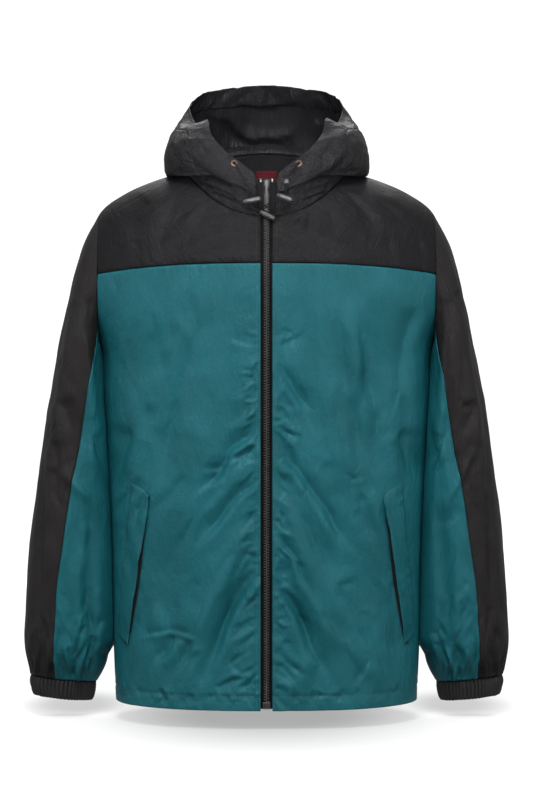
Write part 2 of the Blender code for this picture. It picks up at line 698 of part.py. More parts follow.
def add_hood():
    turns = hood_turns()
    for side, word in SIDES:
        grid = []
        for row in hood_rows():
            line = []
            for turn in turns:
                outer = hood(turn, row)
                inner = outer - hood_normal(turn, row) * WALL
                if row == 0:
                    outer, inner = neck_edge(turn)
                if turn == turns[-1]:
                    outer[0] = inner[0] = HALF_GAP
                line.append((outer, inner))
            grid.append(line)
        add_wall(f"hood_{word}", mirrored(grid, side), "black")


# ---- Pocket welts --------------------------------------------------------------------------
def front_at(x, z, lift, thickness):
    """Outer and inner point of something that lies on a front, below the armpit."""
    run = z - HEM_Z
    angle = angle_at_x(x, run)
    return body_wall(angle if x > 0 else math.pi - angle, run, lift, thickness)


def add_welts():
    """Each welt is a slanted strip sewn down at its back edge and open at its front edge."""
    across, along = 3, 9
    slope = (WELT["top_z"] - WELT["front_z"]) / (WELT["top_x"] - WELT["front_x"])
    for side, word in SIDES:
        grid = []
        for i in range(along + 1):
            share = i / along
            line = []
            for j in range(across + 1):
                part = j / across
                x = WELT["front_x"] + (WELT["top_x"] - WELT["front_x"]) * part
                z = WELT["front_z"] + slope * (x - WELT["front_x"])
                if i == 0 and j == 0:
                    x += WELT["corner"] * 0.4
                    z -= WELT["corner"] * 0.4
                x += (WELT["slant_front"] + (WELT["slant_back"] - WELT["slant_front"]) * part) * share
                z -= WELT["length"] * share
                gape = WELT["gape"] * (1 - part) * math.sin(math.pi * min(share * 1.15, 1))
                line.append(front_at(side * x, z, WELT["lift"] + gape + WALL, WALL))
            grid.append(line)
        add_wall(f"pocket_welt_{word}", grid, "teal")


# ---- Zip -----------------------------------------------------------------------------------
def zip_line(z):
    """Y of the centre front at a height, down the hood's front edge and the body."""
    if z > TORSO["front_z"][-1]:
        heights = [TORSO["front_z"][-1]] + [line["z"][0] for line in HOOD_LINES]
        depths = [TORSO["front_y"][-1]] + [line["y"][0] for line in HOOD_LINES]
        return spline(heights, depths, z)
    return spline(TORSO["front_z"], TORSO["front_y"], z)


def zip_wall(x, z, out, thickness):
    """Outer and inner point of a strip along the zip, out from the line of the fronts."""
    slope = (zip_line(z + 1) - zip_line(z - 1)) / 2
    outward = unit(np.array((0.0, -1.0, slope)))
    curve_back = x * x / (2 * ZIP_BOW)
    base = np.array((x, zip_line(z) + curve_back, z))
    return base + outward * out, base + outward * (out - thickness)


def zip_heights():
    """Heights at which the zip strips bend, closest together near the neck."""
    return steps(ZIP_BOTTOM_Z, -180, 9) + steps(-180, -63, 5)[1:] + steps(-63, ZIP_TOP_Z, 5)[1:]


def add_zip():
    under = -(WALL + TAPE_SINK)
    for side, word in SIDES:
        grid = []
        for z in zip_heights():
            ends = sorted((side * HALF_GAP, side * TAPE_WIDTH))
            places = (ends[0], sum(ends) / 2, ends[1])
            grid.append([zip_wall(x, z, under, TAPE_THICKNESS) for x in places])
        add_wall(f"zip_tape_{word}", grid, "tape")
    box_top = ZIP_BOTTOM_Z + BOX["height"]
    chain_top = SLIDER["bottom_z"] - SEAM_GAP
    chain_levels = [box_top + SEAM_GAP] + [z for z in zip_heights() if box_top + 5 < z < chain_top - 3]
    thickness = CHAIN_PROUD - under - SEAM_GAP
    grid = [[zip_wall(x, z, CHAIN_PROUD, thickness) for x in (-CHAIN_HALF_WIDTH, CHAIN_HALF_WIDTH)]
            for z in chain_levels + [chain_top]]
    add_wall("zip_chain", grid, "plastic")
    grid = [[zip_wall(x, z, BOX["depth"] + under + SEAM_GAP, BOX["depth"])
             for x in (-BOX["half_width"], BOX["half_width"])]
            for z in (ZIP_BOTTOM_Z, box_top)]
    add_wall("zip_box", grid, "plastic")
    for side, word in SIDES:
        ends = sorted(side * (STOP["x"] + half) for half in (-STOP["width"] / 2, STOP["width"] / 2))
        levels = (STOP["z"], STOP["z"] + STOP["height"])
        thickness = STOP["proud"] - under - SEAM_GAP
        grid = [[zip_wall(x, z, STOP["proud"], thickness) for x in ends] for z in levels]
        add_wall(f"zip_stop_{word}", grid, "stop")


def add_slider():
    """Slider body, wider at its top, with a low bridge that the pull hangs from."""
    low, high = SLIDER["bottom_z"], SLIDER["top_z"]
    under = -(WALL + TAPE_SINK)
    thickness = SLIDER["proud"] - under - SEAM_GAP
    grid = []
    for share, half in zip(*SLIDER_WIDTHS.values()):
        z = low + (high - low) * share
        line = []
        for x in (-half * SLIDER["half_width"], 0, half * SLIDER["half_width"]):
            lower = 0 if x == 0 else SLIDER["round"]
            line.append(zip_wall(x, z, SLIDER["proud"] - lower, thickness - lower))
        grid.append(line)
    add_wall("zip_slider", grid, "plastic")


def add_pull():
    """The pull tab hangs from the slider's front and swings up on its upper end."""
    pivot_y = zip_line(PULL["pivot_z"]) - SLIDER["proud"] - PULL["clear"] - PULL["thickness"] / 2
    half, thick = PULL["half_width"], PULL["thickness"] / 2
    grid = []
    for share, down in zip(*PULL_OUTLINE.values()):
        grid.append([(np.array((x, -thick, -down)), np.array((x, thick, -down)))
                     for x in (-half * share, half * share)])
    pull = add_wall("zip_pull", grid, "plastic")
    pull.location = (0, pivot_y * MM, PULL["pivot_z"] * MM)


# ---- Drawcord ------------------------------------------------------------------------------
def add_turned(name, profile, start, axis, sides, finish):
    """A closed turned body; profile rows are (distance along the axis, radius)."""
    axis = unit(axis)
    first = unit(np.cross(axis, (0.0, 0.0, 1.0) if abs(axis[2]) < 0.9 else (1.0, 0.0, 0.0)))
    second = np.cross(axis, first)
    points, faces = [], []
    for distance, radius in profile:
        for k in range(sides):
            turn = 2 * math.pi * k / sides
            spoke = first * math.cos(turn) + second * math.sin(turn)
            points.append(start + axis * distance + spoke * radius)
    for i in range(len(profile) - 1):
        for k in range(sides):
            after = (k + 1) % sides
            faces.append((i * sides + k, i * sides + after, (i + 1) * sides + after, (i + 1) * sides + k))
    last = (len(profile) - 1) * sides
    faces.append(tuple(reversed(range(sides))))
    faces.append(tuple(last + k for k in range(sides)))
    return add_solid(name, points, faces, finish)


def add_ring(name, centre, normal, outer, bore, thickness, sides, finish):
    """A flat ring with its back face at centre."""
    normal = unit(normal)
    first = unit(np.cross(normal, (0.0, 0.0, 1.0)))
    second = np.cross(normal, first)
    grid = []
    for k in range(sides):
        turn = 2 * math.pi * k / sides
        spoke = first * math.cos(turn) + second * math.sin(turn)
        grid.append((centre + spoke * outer, centre + spoke * (outer - 0.8) + normal * thickness,
                     centre + spoke * (bore + 0.5) + normal * thickness, centre + spoke * bore))
    points = [p for spoke in grid for p in spoke]
    faces = []
    for k in range(sides):
        after = (k + 1) % sides
        for m in range(4):
            n = (m + 1) % 4
            faces.append((4 * k + m, 4 * after + m, 4 * after + n, 4 * k + n))
    return add_solid(name, points, faces, finish)


def hood_place(x, z):
    """Point and outward normal on the hood's front, under a place seen from the front."""
    best = min(
        ((turn, row) for turn in steps(10, 50, 40) for row in steps(4.3, 5.95, 33)),
        key=lambda at: (hood(*at)[0] - x) ** 2 + (hood(*at)[2] - z) ** 2,
    )
    return hood(*best), hood_normal(*best)


def add_eyelets():
    point, normal = hood_place(EYELET["x"], EYELET["z"])
    for side, word in SIDES:
        flip = np.array((side, 1, 1))
        seat = (point + normal * (SEAM_GAP + 0.25)) * flip
        add_ring(f"eyelet_{word}", seat, normal * flip, EYELET["outer"], EYELET["bore"],
                 EYELET["thickness"], 16, "metal")


def add_cord(name, route):
    """A round cord along a smooth curve through its route."""
    lengths = [0.0]
    for near, far in zip(route, route[1:]):
        lengths.append(lengths[-1] + math.dist(near, far))
    count = max(3, round(lengths[-1] / (1.8 * CORD_DIAMETER)))
    curve = bpy.data.curves.new(name, "CURVE")
    curve.dimensions = "3D"
    curve.bevel_depth = CORD_DIAMETER / 2 * MM
    curve.bevel_resolution = 2
    curve.use_fill_caps = True
    line = curve.splines.new("POLY")
    line.points.add(count)
    for point, reach in zip(line.points, steps(0, lengths[-1], count)):
        place = [spline(lengths, [p[axis] for p in route], reach) * MM for axis in range(3)]
        point.co = (*place, 1)
    item = bpy.data.objects.new(name, curve)
    curve.materials.append(finish_of(name, "cord"))
    bpy.context.collection.objects.link(item)


def add_drawcord():
    for name, route in CORD_ROUTES.items():
        add_cord(name, route)
    for name, x1, y1, z1, x2, y2, z2 in zip(*TOGGLES.values()):
        start, end = np.array((x1, y1, z1)), np.array((x2, y2, z2))
        length = np.linalg.norm(end - start)
        profile = ((0, 1.9), (0.8, 2.7), (2.2, 2.7), (3.0, 2.0), (3.8, TOGGLE_RADIUS - 0.5),
                   (4.8, TOGGLE_RADIUS), (length - 1.2, TOGGLE_RADIUS), (length, TOGGLE_RADIUS - 1.0))
        add_turned(name, profile, start, end - start, 12, "toggle")
    centre = np.array((BEAD["x"], BEAD["y"], BEAD["z"]))
    radius = BEAD["radius"]
    profile = [(radius * math.sin(math.radians(a)), radius * math.cos(math.radians(a)))
               for a in (-60, -35, 0, 35, 60)]
    add_turned("cord_bead", profile, centre, np.array((0.35, 0.0, 1.0)), 12, "stop")


# ---- Label ---------------------------------------------------------------------------------
def add_label():
    """A plain strip on the inside of the back yoke, just below the neck seam."""
    grid = []
    for z in steps(LABEL["bottom_z"], LABEL["top_z"], 2):
        run = spline(TORSO["back_z"][-5:], TORSO["run"][-5:], z)
        line = []
        for x in steps(-LABEL["half_width"], LABEL["half_width"], 4):
            angle = -angle_at_x(x, run)
            angle = angle if x > 0 else -math.pi - angle
            line.append(body_wall(angle, run, -(WALL + LABEL["clear"]), LABEL["thickness"]))
        grid.append(line)
    add_wall("neck_label", grid, "label")


def main():
    for item in list(bpy.data.objects):
        bpy.data.objects.remove(item)
    add_body_panels()
    add_sleeves()
    add_cuffs()
    add_hood()
    add_welts()
    add_zip()
    add_slider()
    add_pull()
    add_eyelets()
    add_drawcord()
    add_label()


main()
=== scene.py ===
import math

import bpy
import numpy as np
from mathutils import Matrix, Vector
from mathutils.bvhtree import BVHTree


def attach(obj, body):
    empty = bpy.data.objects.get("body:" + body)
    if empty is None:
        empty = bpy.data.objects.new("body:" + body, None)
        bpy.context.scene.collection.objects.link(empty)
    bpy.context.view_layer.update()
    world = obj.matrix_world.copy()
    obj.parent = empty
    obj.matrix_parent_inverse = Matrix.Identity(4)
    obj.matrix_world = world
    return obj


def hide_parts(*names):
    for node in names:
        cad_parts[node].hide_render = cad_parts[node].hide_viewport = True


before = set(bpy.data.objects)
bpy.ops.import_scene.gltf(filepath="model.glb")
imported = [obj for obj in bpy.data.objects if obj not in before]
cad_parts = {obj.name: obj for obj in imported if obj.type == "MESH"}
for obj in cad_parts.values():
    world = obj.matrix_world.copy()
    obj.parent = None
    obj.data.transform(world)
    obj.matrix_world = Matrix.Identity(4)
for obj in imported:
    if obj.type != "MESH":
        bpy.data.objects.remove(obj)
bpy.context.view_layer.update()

mm = 0.001
sides = ((1, "left"), (-1, "right"))   # the wearer's own
mirrorX = np.array((-1, 1, 1))


def table(names, *rows):
    return {name: np.array(column) for name, column in zip(names.split(), zip(*rows))}


def ease(value):
    value = np.clip(value, 0.0, 1.0)
    return value * value * (3 - 2 * value)


def bell(off, width):
    return np.exp(-((off / width) ** 2))


def unit(vectors):
    return vectors / np.maximum(np.linalg.norm(vectors, axis=-1, keepdims=True), 1e-9)


def runningLength(points):
    # length from the first row to each row, down every column
    step = np.linalg.norm(np.diff(points, axis=0), axis=-1)
    return np.concatenate((np.zeros((1,) + step.shape[1:]), np.cumsum(step, axis=0)))


def readAlong(at, reach, values):
    # points or directions read at lengths along a line
    return np.stack([np.interp(at, reach, values[:, axis]) for axis in range(values.shape[1])], axis=-1)


def curveRead(knots, values, at):
    # smooth curve through every (knot, value)
    knots, values, at = (np.asarray(a, float) for a in (knots, values, at))
    rise = np.diff(values) / np.diff(knots)
    before, after = np.diff(knots)[:-1], np.diff(knots)[1:]
    slope = np.empty(len(knots))
    slope[1:-1] = (rise[:-1] * after + rise[1:] * before) / (before + after)
    slope[0], slope[-1] = rise[0], rise[-1]
    k = np.clip(np.searchsorted(knots, at, side="right") - 1, 0, len(knots) - 2)
    span = knots[k + 1] - knots[k]
    t = (at - knots[k]) / span
    a, b, m, n = values[k], values[k + 1], slope[k] * span, slope[k + 1] * span
    return a + m * t + (3 * (b - a) - 2 * m - n) * t ** 2 + (2 * (a - b) + m + n) * t ** 3


def wave(at, period, seed):
    # smooth uneven wave between -1 and 1
    knots = np.random.RandomState(seed).uniform(-1, 1, 512)
    place = np.asarray(at, float) / period + 200.0
    k = np.floor(place).astype(int)
    t = ease(place - k)
    return knots[k % len(knots)] * (1 - t) + knots[(k + 1) % len(knots)] * t


def ripple(a, b, periodA, periodB, seed):
    # smooth uneven hills between -1 and 1 over two directions
    count = 256
    lattice = np.random.RandomState(seed).uniform(-1, 1, (count, count))
    pa, pb = np.asarray(a, float) / periodA + 100.0, np.asarray(b, float) / periodB + 100.0
    i, j = np.floor(pa).astype(int), np.floor(pb).astype(int)
    s, t = (p * p * p * (p * (6 * p - 15) + 10) for p in (pa - i, pb - j))
    i, j, i1, j1 = i % count, j % count, (i + 1) % count, (j + 1) % count
    low = lattice[i, j] * (1 - s) + lattice[i1, j] * s
    high = lattice[i, j1] * (1 - s) + lattice[i1, j1] * s
    return low * (1 - t) + high * t


def gridNormals(points, closed=False):
    if closed:
        around = np.concatenate((points[:, -1:], points, points[:, :1]), axis=1)
        across = (around[:, 2:] - around[:, :-2]) / 2
    else:
        across = np.gradient(points, axis=1)
    along = np.gradient(points, axis=0)
    return unit(np.cross(across, along))


def evenAngles(surface, start, end, runs, count):
    # count + 1 angles from start to end for each run, equally far apart on the surface
    fine = start[:, None] + (end - start)[:, None] * np.linspace(0, 1, 4 * count + 1)
    reach = runningLength(surface(fine, runs[:, None]).swapaxes(0, 1)).T
    return np.array([np.interp(np.linspace(0, reach[i, -1], count + 1), reach[i], fine[i])
                     for i in range(len(runs))])


def gridUv(points, closed=False):
    # millimetres across and along the cloth, from the mean length of each strip of cells
    loop = np.concatenate((points, points[:, :1]), axis=1) if closed else points
    across = np.linalg.norm(np.diff(loop, axis=1), axis=2).mean(axis=0)
    along = np.linalg.norm(np.diff(points, axis=0), axis=2).mean(axis=1)
    u = np.concatenate(([0], np.cumsum(across)))[:points.shape[1]]
    v = np.concatenate(([0], np.cumsum(along)))
    return np.stack(np.meshgrid(u, v), axis=-1)


def asSheet(points, closed=False):
    return {"points": points, "normals": gridNormals(points, closed), "uv": gridUv(points, closed)}


edgeTurns = {"low": (False, 1), "high": (False, -1), "first": (True, 1), "last": (True, -1)}
edgeRows = 60    # rows next to an edge that are enough to measure in from it


def rowsFrom(grid, edge):
    # the grid as rows that are counted in from an edge
    swap, step = edgeTurns[edge]
    return (grid.swapaxes(0, 1) if swap else grid)[::step]


def rowsBack(grid, edge):
    swap, step = edgeTurns[edge]
    return grid[::step].swapaxes(0, 1) if swap else grid[::step]


def insetLine(points, normals, back):
    # the line a distance in from the first row, with its normals
    reach = runningLength(points)
    return [np.array([readAlong(back, reach[:, c], grid[:, c]) for c in range(points.shape[1])])
            for grid in (points, normals)]


def besideEdge(sheet, edge, back):
    # the line a distance in from an edge: its points and outward normals
    line, outward = insetLine(*(rowsFrom(sheet[key], edge)[:edgeRows] for key in ("points", "normals")), back)
    return line, unit(outward)


def turned(sheet, edge, steps):
    # rows added beyond an edge: each is (back along the cloth, down under it) from the edge
    points, normals, uv = (rowsFrom(sheet[key], edge) for key in ("points", "normals", "uv"))
    inward = unit(points[2] - points[0])
    uvInward = unit(uv[2] - uv[0])
    newPoints, newUv, path, last = [], [], 0.0, (0.0, 0.0)
    for back, down in steps:
        line, normal = insetLine(points[:edgeRows], normals[:edgeRows], max(back, 0))
        if back < 0:
            line += inward * back
        path += math.hypot(back - last[0], down - last[1])
        last = (back, down)
        newPoints.append(line - normal * down)
        newUv.append(uv[0] - uvInward * path)
    grown = {}
    for key, old, new in (("points", points, newPoints), ("normals", normals, [normals[0]] * len(steps)),
                          ("uv", uv, newUv)):
        grown[key] = rowsBack(np.concatenate((np.array(new[::-1]), old)), edge)
    return grown


seamEdge = ((-0.05, 0.5), (0.1, 1.2), (0.2, 4.0))    # a sewn edge, its allowance turned in
zipFold = ((-0.2, 0.4), (0.0, 1.0), (1.0, 1.3), (6.0, 1.3))


def hemSteps(width, depth=1.3, count=6):
    # a folded edge that runs back inside for a width
    return ((-0.25, 0.35), (-0.2, 0.95), (0.6, depth)) + tuple(
        (2 + (width - 2) * k / count, depth) for k in range(count + 1)) + ((width, depth - 0.7),)


def gridFaces(rows, columns, closed=False):
    i, j = np.meshgrid(np.arange(rows - 1), np.arange(columns if closed else columns - 1), indexing="ij")
    a, b = i * columns + j, i * columns + (j + 1) % columns
    return np.stack((a, b, b + columns, a + columns), axis=-1).reshape(-1, 4)


def tubeFaces(rings, count):
    # the faces of a tube and of its two closed ends
    ends = []
    for start, turn in ((0, -1), ((rings - 1) * count, 1)):
        ends += [(start + k - 1, start + k, start + count - 1 - k, start + (count - k) % count)[::turn]
                 for k in range(1, count // 2)]
    return np.concatenate((gridFaces(rings, count, True), ends))


def meshOf(name, points, faces, uv=None):
    # points in millimetres, faces as an array of quads
    points, faces = np.asarray(points, float), np.asarray(faces, int)
    mesh = bpy.data.meshes.new(name)
    mesh.vertices.add(len(points))
    mesh.vertices.foreach_set("co", (points * mm).ravel())
    mesh.loops.add(faces.size)
    mesh.loops.foreach_set("vertex_index", faces.ravel())
    mesh.polygons.add(len(faces))
    mesh.polygons.foreach_set("loop_start", np.arange(len(faces)) * faces.shape[1])
    mesh.update(calc_edges=True)
    if uv is not None:
        layer = mesh.uv_layers.new(name="cloth")
        layer.data.foreach_set("uv", (np.asarray(uv)[faces.ravel()] * mm * 10).ravel())
    mesh.validate()
    mesh.shade_smooth()
    return mesh


def link(name, mesh, material, nodes=(), body="garment", sharp=None):
    # sharp is the angle from which an edge stays hard
    if sharp:
        mesh.set_sharp_from_angle(angle=math.radians(sharp))
    mesh.materials.append(material)
    item = bpy.data.objects.new(name, mesh)
    bpy.context.collection.objects.link(item)
    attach(item, body)
    if nodes:
        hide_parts(*nodes)
    return item


def sheetPiece(name, sheet, material, nodes, edges=(), closed=False):
    # a piece of cloth, its edges turned in one after another
    for edge, steps in edges:
        sheet = turned(sheet, edge, steps)
    rows, columns = sheet["points"].shape[:2]
    mesh = meshOf(name, sheet["points"].reshape(-1, 3), gridFaces(rows, columns, closed),
                  sheet["uv"].reshape(-1, 2))
    return link(name, mesh, material, nodes)


thread = {"pitch": 3.4, "length": 2.5, "radius": 0.24, "proud": 0.1, "clear": 1.5, "rings": 5, "spokes": 6}


def stitchRow(name, lines, cloth):
    # one raised stitch after another along each line of (points, normals), all in one piece
    length, radius, rings, spokes = (thread[key] for key in ("length", "radius", "rings", "spokes"))
    turn = np.linspace(0, 2 * math.pi, spokes, endpoint=False)[:, None]
    share = np.linspace(0, 1, rings)
    arch = np.sin(math.pi * share)[None, :, None]
    ringFaces = gridFaces(rings, spokes, True)
    points, faces, offset = [], [], 0
    for line, outward in lines:
        reach = runningLength(line)
        starts = np.arange(thread["clear"], reach[-1] - length - 1, thread["pitch"])
        at = starts[:, None] + share[None, :] * length
        centre, up = readAlong(at, reach, line), unit(readAlong(at, reach, outward))
        across = unit(np.cross(unit(np.gradient(centre, axis=1)), up))
        centre = centre + up * (thread["proud"] * (arch * 2 - 1) + radius * 0.4)
        thick = (radius * (0.5 + 0.5 * arch))[..., None]
        spokesOut = across[:, :, None] * np.cos(turn) + up[:, :, None] * np.sin(turn)
        ring = centre[:, :, None] + thick * spokesOut
        points.append(ring.reshape(-1, 3))
        first = offset + np.arange(len(starts)) * rings * spokes
        faces.append((ringFaces[None] + first[:, None, None]).reshape(-1, 4))
        offset += len(starts) * rings * spokes
    mesh = meshOf(name, np.concatenate(points), np.concatenate(faces))
    return link(name, mesh, materials[cloth + "Thread"])


def linear(colour):
    shares = [c / 255 for c in colour]
    return tuple(s / 12.92 if s <= 0.04045 else ((s + 0.055) / 1.055) ** 2.4 for s in shares) + (1,)


def newMaterial(name, colour, roughness, metallic=0.0, specular=0.5):
    mat = bpy.data.materials.new(name)
    mat.use_nodes = True
    shader = mat.node_tree.nodes["Principled BSDF"]
    shader.inputs["Base Color"].default_value = linear(colour)
    shader.inputs["Roughness"].default_value = roughness
    shader.inputs["Metallic"].default_value = metallic
    shader.inputs["Specular IOR Level"].default_value = specular
    return mat, mat.node_tree, shader


def addNode(tree, kind, **values):
    node = tree.nodes.new("ShaderNode" + kind)
    for key, value in values.items():
        if key in node.inputs:
            node.inputs[key].default_value = value
        else:
            setattr(node, key, value)
    return node


def noiseNode(tree, place, scale, detail=3.0, distortion=0.0):
    node = addNode(tree, "TexNoise", Scale=scale, Detail=detail, Distortion=distortion)
    tree.links.new(place, node.inputs["Vector"])
    return node.outputs["Fac"]


def mathNode(tree, operation, a, b):
    node = addNode(tree, "Math", operation=operation)
    for socket, value in zip(node.inputs, (a, b)):
        if isinstance(value, (int, float)):
            socket.default_value = value
        else:
            tree.links.new(value, socket)
    return node.outputs[0]


def vectorNode(tree, operation, a, b=(0, 0, 0)):
    node = addNode(tree, "VectorMath", operation=operation)
    tree.links.new(a, node.inputs[0])
    node.inputs[1].default_value = b
    return node.outputs


def colourRamp(tree, fac, stops, blend="LINEAR"):
    # stops are (position, colour as shares of light)
    node = addNode(tree, "ValToRGB")
    ramp = node.color_ramp
    ramp.interpolation = blend
    while len(ramp.elements) < len(stops):
        ramp.elements.new(0.5)
    for element, (position, colour) in zip(ramp.elements, stops):
        element.position, element.color = position, colour
    tree.links.new(fac, node.inputs["Fac"])
    return node.outputs["Color"]


def bumpNode(tree, height, strength, distance, normal=None):
    node = addNode(tree, "Bump", Strength=strength, Distance=distance)
    tree.links.new(height, node.inputs["Height"])
    if normal is not None:
        tree.links.new(normal, node.inputs["Normal"])
    return node.outputs["Normal"]


stageSizes = {
    "floorZ": -0.742, "rings": (0.01, 0.7, 1.6), "wall": 7.6, "bend": 0.9, "bendSteps": 12, "topZ": 3.0,
    "segments": 72, "paper": 0.3,
    # middle and reach of the painted shadow under the hem and of the painted shadows under the cuffs
    "paintedShadows": (((0, 0, 0), (0.29, 0.40)), ((0.27, 0.12, 0), (0.10, 0.17))),
    # light that the paper gives by itself, lower in the painted shadows, by how many reaches away it is
    "glowWithPaintedShadows": ((0.25, 0.40), (1.0, 0.76), (3.0, 0.80), (6.0, 1.0)), "glowScale": 0.1,
}
camera = {"distance": 3.0, "z": -0.3064, "lens": 97.83, "sensor": 36.0}
skyLight = 0.32
lights = {
    # name: size, power, place, aim
    "keyLight": (0.9, 36, (-0.1, -1.4, 1.3), (0, 0, -0.25)),
    "fillLight": (1.8, 26, (0.4, -3.6, 0.3), (0, 0, -0.3)),
    "topLight": (2.0, 70, (0.0, 2.3, 2.2), (0, 0.0, -0.7)),
    "leftLight": (1.2, 14, (-2.2, -1.3, 0.3), (0, 0, -0.35)),
    "rightLight": (1.2, 14, (2.2, -1.3, 0.3), (0, 0, -0.35)),
}
# a flat beam into the hood
hoodLight = {"power": 3600, "spread": 4.4, "blend": 0.6, "radius": 0.15, "flat": 0.4,
             "place": (0.0, -2.6, -0.1), "aim": (0.0, 0.1, 0.12)}


def stageMesh():
    # a round floor whose rim bends up into a wall
    floor, wall, bend, count = (stageSizes[key] for key in ("floorZ", "wall", "bend", "segments"))
    profile = [(reach, floor) for reach in stageSizes["rings"]]
    for k in range(stageSizes["bendSteps"] + 1):
        turn = math.pi / 2 * k / stageSizes["bendSteps"]
        profile.append((wall - bend * (1 - math.sin(turn)), floor + bend * (1 - math.cos(turn))))
    profile.append((wall, stageSizes["topZ"]))
    turns = [2 * math.pi * k / count for k in range(count)]
    verts = [(r * math.cos(turn), r * math.sin(turn), z) for r, z in profile for turn in turns]
    faces = [face[::-1] for face in gridFaces(len(profile), count, True).tolist()] + [tuple(range(count))]
    mesh = bpy.data.meshes.new("stage_sweep")
    mesh.from_pydata(verts, [], faces)
    mesh.shade_smooth()
    return mesh


def paintedShadowPaper():
    # the paper gives light by itself, less of it in the painted shadows under the hem and the cuffs
    mat, tree, shader = newMaterial("stage_paper_painted_shadows", (0, 0, 0), 0.9, specular=0.1)
    shader.inputs["Base Color"].default_value = (*[stageSizes["paper"]] * 3, 1)
    shader.inputs["Emission Strength"].default_value = 1.0
    place = addNode(tree, "SeparateXYZ")
    tree.links.new(addNode(tree, "TexCoord").outputs["Object"], place.inputs[0])
    folded = addNode(tree, "CombineXYZ")
    tree.links.new(mathNode(tree, "ABSOLUTE", place.outputs["X"], 0.0), folded.inputs["X"])
    tree.links.new(place.outputs["Y"], folded.inputs["Y"])
    reaches = []
    for middle, (reachX, reachY) in stageSizes["paintedShadows"]:
        away = vectorNode(tree, "SUBTRACT", folded.outputs[0], middle)[0]
        scaled = vectorNode(tree, "MULTIPLY", away, (1 / reachX, 1 / reachY, 0))[0]
        reaches.append(vectorNode(tree, "LENGTH", scaled)["Value"])
    scale = stageSizes["glowScale"]
    paintedShadowReach = mathNode(tree, "MULTIPLY", mathNode(tree, "MINIMUM", *reaches), scale)
    stops = [(reach * scale, (light, light, light, 1)) for reach, light in stageSizes["glowWithPaintedShadows"]]
    # the glow, lower in the painted shadows, goes into the paper's emission
    tree.links.new(colourRamp(tree, paintedShadowReach, stops, "EASE"), shader.inputs["Emission Color"])
    return mat


def makeStage():
    mesh = stageMesh()
    mesh.materials.append(paintedShadowPaper())
    sweep = bpy.data.objects.new("stage_sweep", mesh)
    bpy.context.collection.objects.link(sweep)
    sweep.visible_diffuse = sweep.visible_glossy = False    # the paper throws no light back


def makeCamera():
    data = bpy.data.cameras.new("camera")
    data.lens = camera["lens"]
    data.sensor_width = camera["sensor"]
    cam = bpy.data.objects.new("camera", data)
    cam.location = (0, -camera["distance"], camera["z"])
    cam.rotation_euler = (math.pi / 2, 0, 0)
    bpy.context.collection.objects.link(cam)
    bpy.context.scene.camera = cam


def placeLamp(data, place, aim):
    lamp = bpy.data.objects.new(data.name, data)
    lamp.location = place
    lamp.rotation_euler = (Vector(aim) - Vector(place)).to_track_quat("-Z", "Y").to_euler()
    bpy.context.collection.objects.link(lamp)
    return lamp


def makeLights():
    for name, (size, power, place, aim) in lights.items():
        data = bpy.data.lights.new(name, "AREA")
        data.shape, data.size, data.energy = "DISK", size, power
        placeLamp(data, place, aim)
    data = bpy.data.lights.new("hoodLight", "SPOT")
    data.energy, data.spot_size = hoodLight["power"], math.radians(hoodLight["spread"])
    data.spot_blend, data.shadow_soft_size = hoodLight["blend"], hoodLight["radius"]
    placeLamp(data, hoodLight["place"], hoodLight["aim"]).scale = (1.0, hoodLight["flat"], 1.0)
    world = bpy.data.worlds.new("studio")
    world.use_nodes = True
    background = world.node_tree.nodes["Background"]
    background.inputs["Color"].default_value = (1, 1, 1, 1)
    background.inputs["Strength"].default_value = skyLight
    bpy.context.scene.world = world
    bpy.context.scene.view_settings.view_transform = "Standard"


makeCamera()
makeLights()
makeStage()
print("stage done")


def clothMaterial(name, dark, middle, light, roughness, weavePeriod=0.55, crinkle=1.0, specular=0.17,
                  sheen=0.0):
    # one uv unit is 100 mm of cloth
    mat, tree, shader = newMaterial(name, middle, roughness, 0.0, specular)
    uv = addNode(tree, "UVMap", uv_map="cloth").outputs["UV"]
    broad = mathNode(tree, "MULTIPLY", noiseNode(tree, uv, 1.6, 4.0), 0.7)
    small = noiseNode(tree, uv, 24.0, 3.0)
    mixed = mathNode(tree, "ADD", broad, mathNode(tree, "MULTIPLY", small, 0.3))
    stops = ((0.36, linear(dark)), (0.5, linear(middle)), (0.64, linear(light)))
    tree.links.new(colourRamp(tree, mixed, stops), shader.inputs["Base Color"])
    rough = mathNode(tree, "MULTIPLY_ADD", small, 0.12)
    rough.node.inputs[2].default_value = roughness - 0.06
    tree.links.new(rough, shader.inputs["Roughness"])
    weave = []
    for direction in ("X", "Y"):
        band = addNode(tree, "TexWave", Scale=0.314 / (weavePeriod / 100), Distortion=0.4)
        band.bands_direction = direction
        tree.links.new(uv, band.inputs["Vector"])
        weave.append(band.outputs["Fac"])
    threads = mathNode(tree, "ADD", *weave)
    mapping = addNode(tree, "Mapping", Scale=(1.0, 0.45, 1.0))
    tree.links.new(uv, mapping.inputs["Vector"])
    stretched = mapping.outputs["Vector"]
    crinkleNormal = bumpNode(tree, noiseNode(tree, stretched, 9.0, 5.0, 0.6), 0.7 * crinkle, 0.0022)
    # thin crumple lines, where a noise passes its middle
    off = mathNode(tree, "SUBTRACT", noiseNode(tree, stretched, 15.0, 2.0, 0.8), 0.5)
    lines = mathNode(tree, "MULTIPLY", mathNode(tree, "ABSOLUTE", off, 0.0), 9.0)
    lines = mathNode(tree, "MINIMUM", lines, 1.0)
    crinkleNormal = bumpNode(tree, lines, 0.5 * crinkle, 0.0005, crinkleNormal)
    weaveNormal = bumpNode(tree, threads, 0.25, 0.00012, crinkleNormal)
    tree.links.new(weaveNormal, shader.inputs["Normal"])
    shader.inputs["Sheen Weight"].default_value = sheen
    shader.inputs["Sheen Roughness"].default_value = 0.45
    return mat


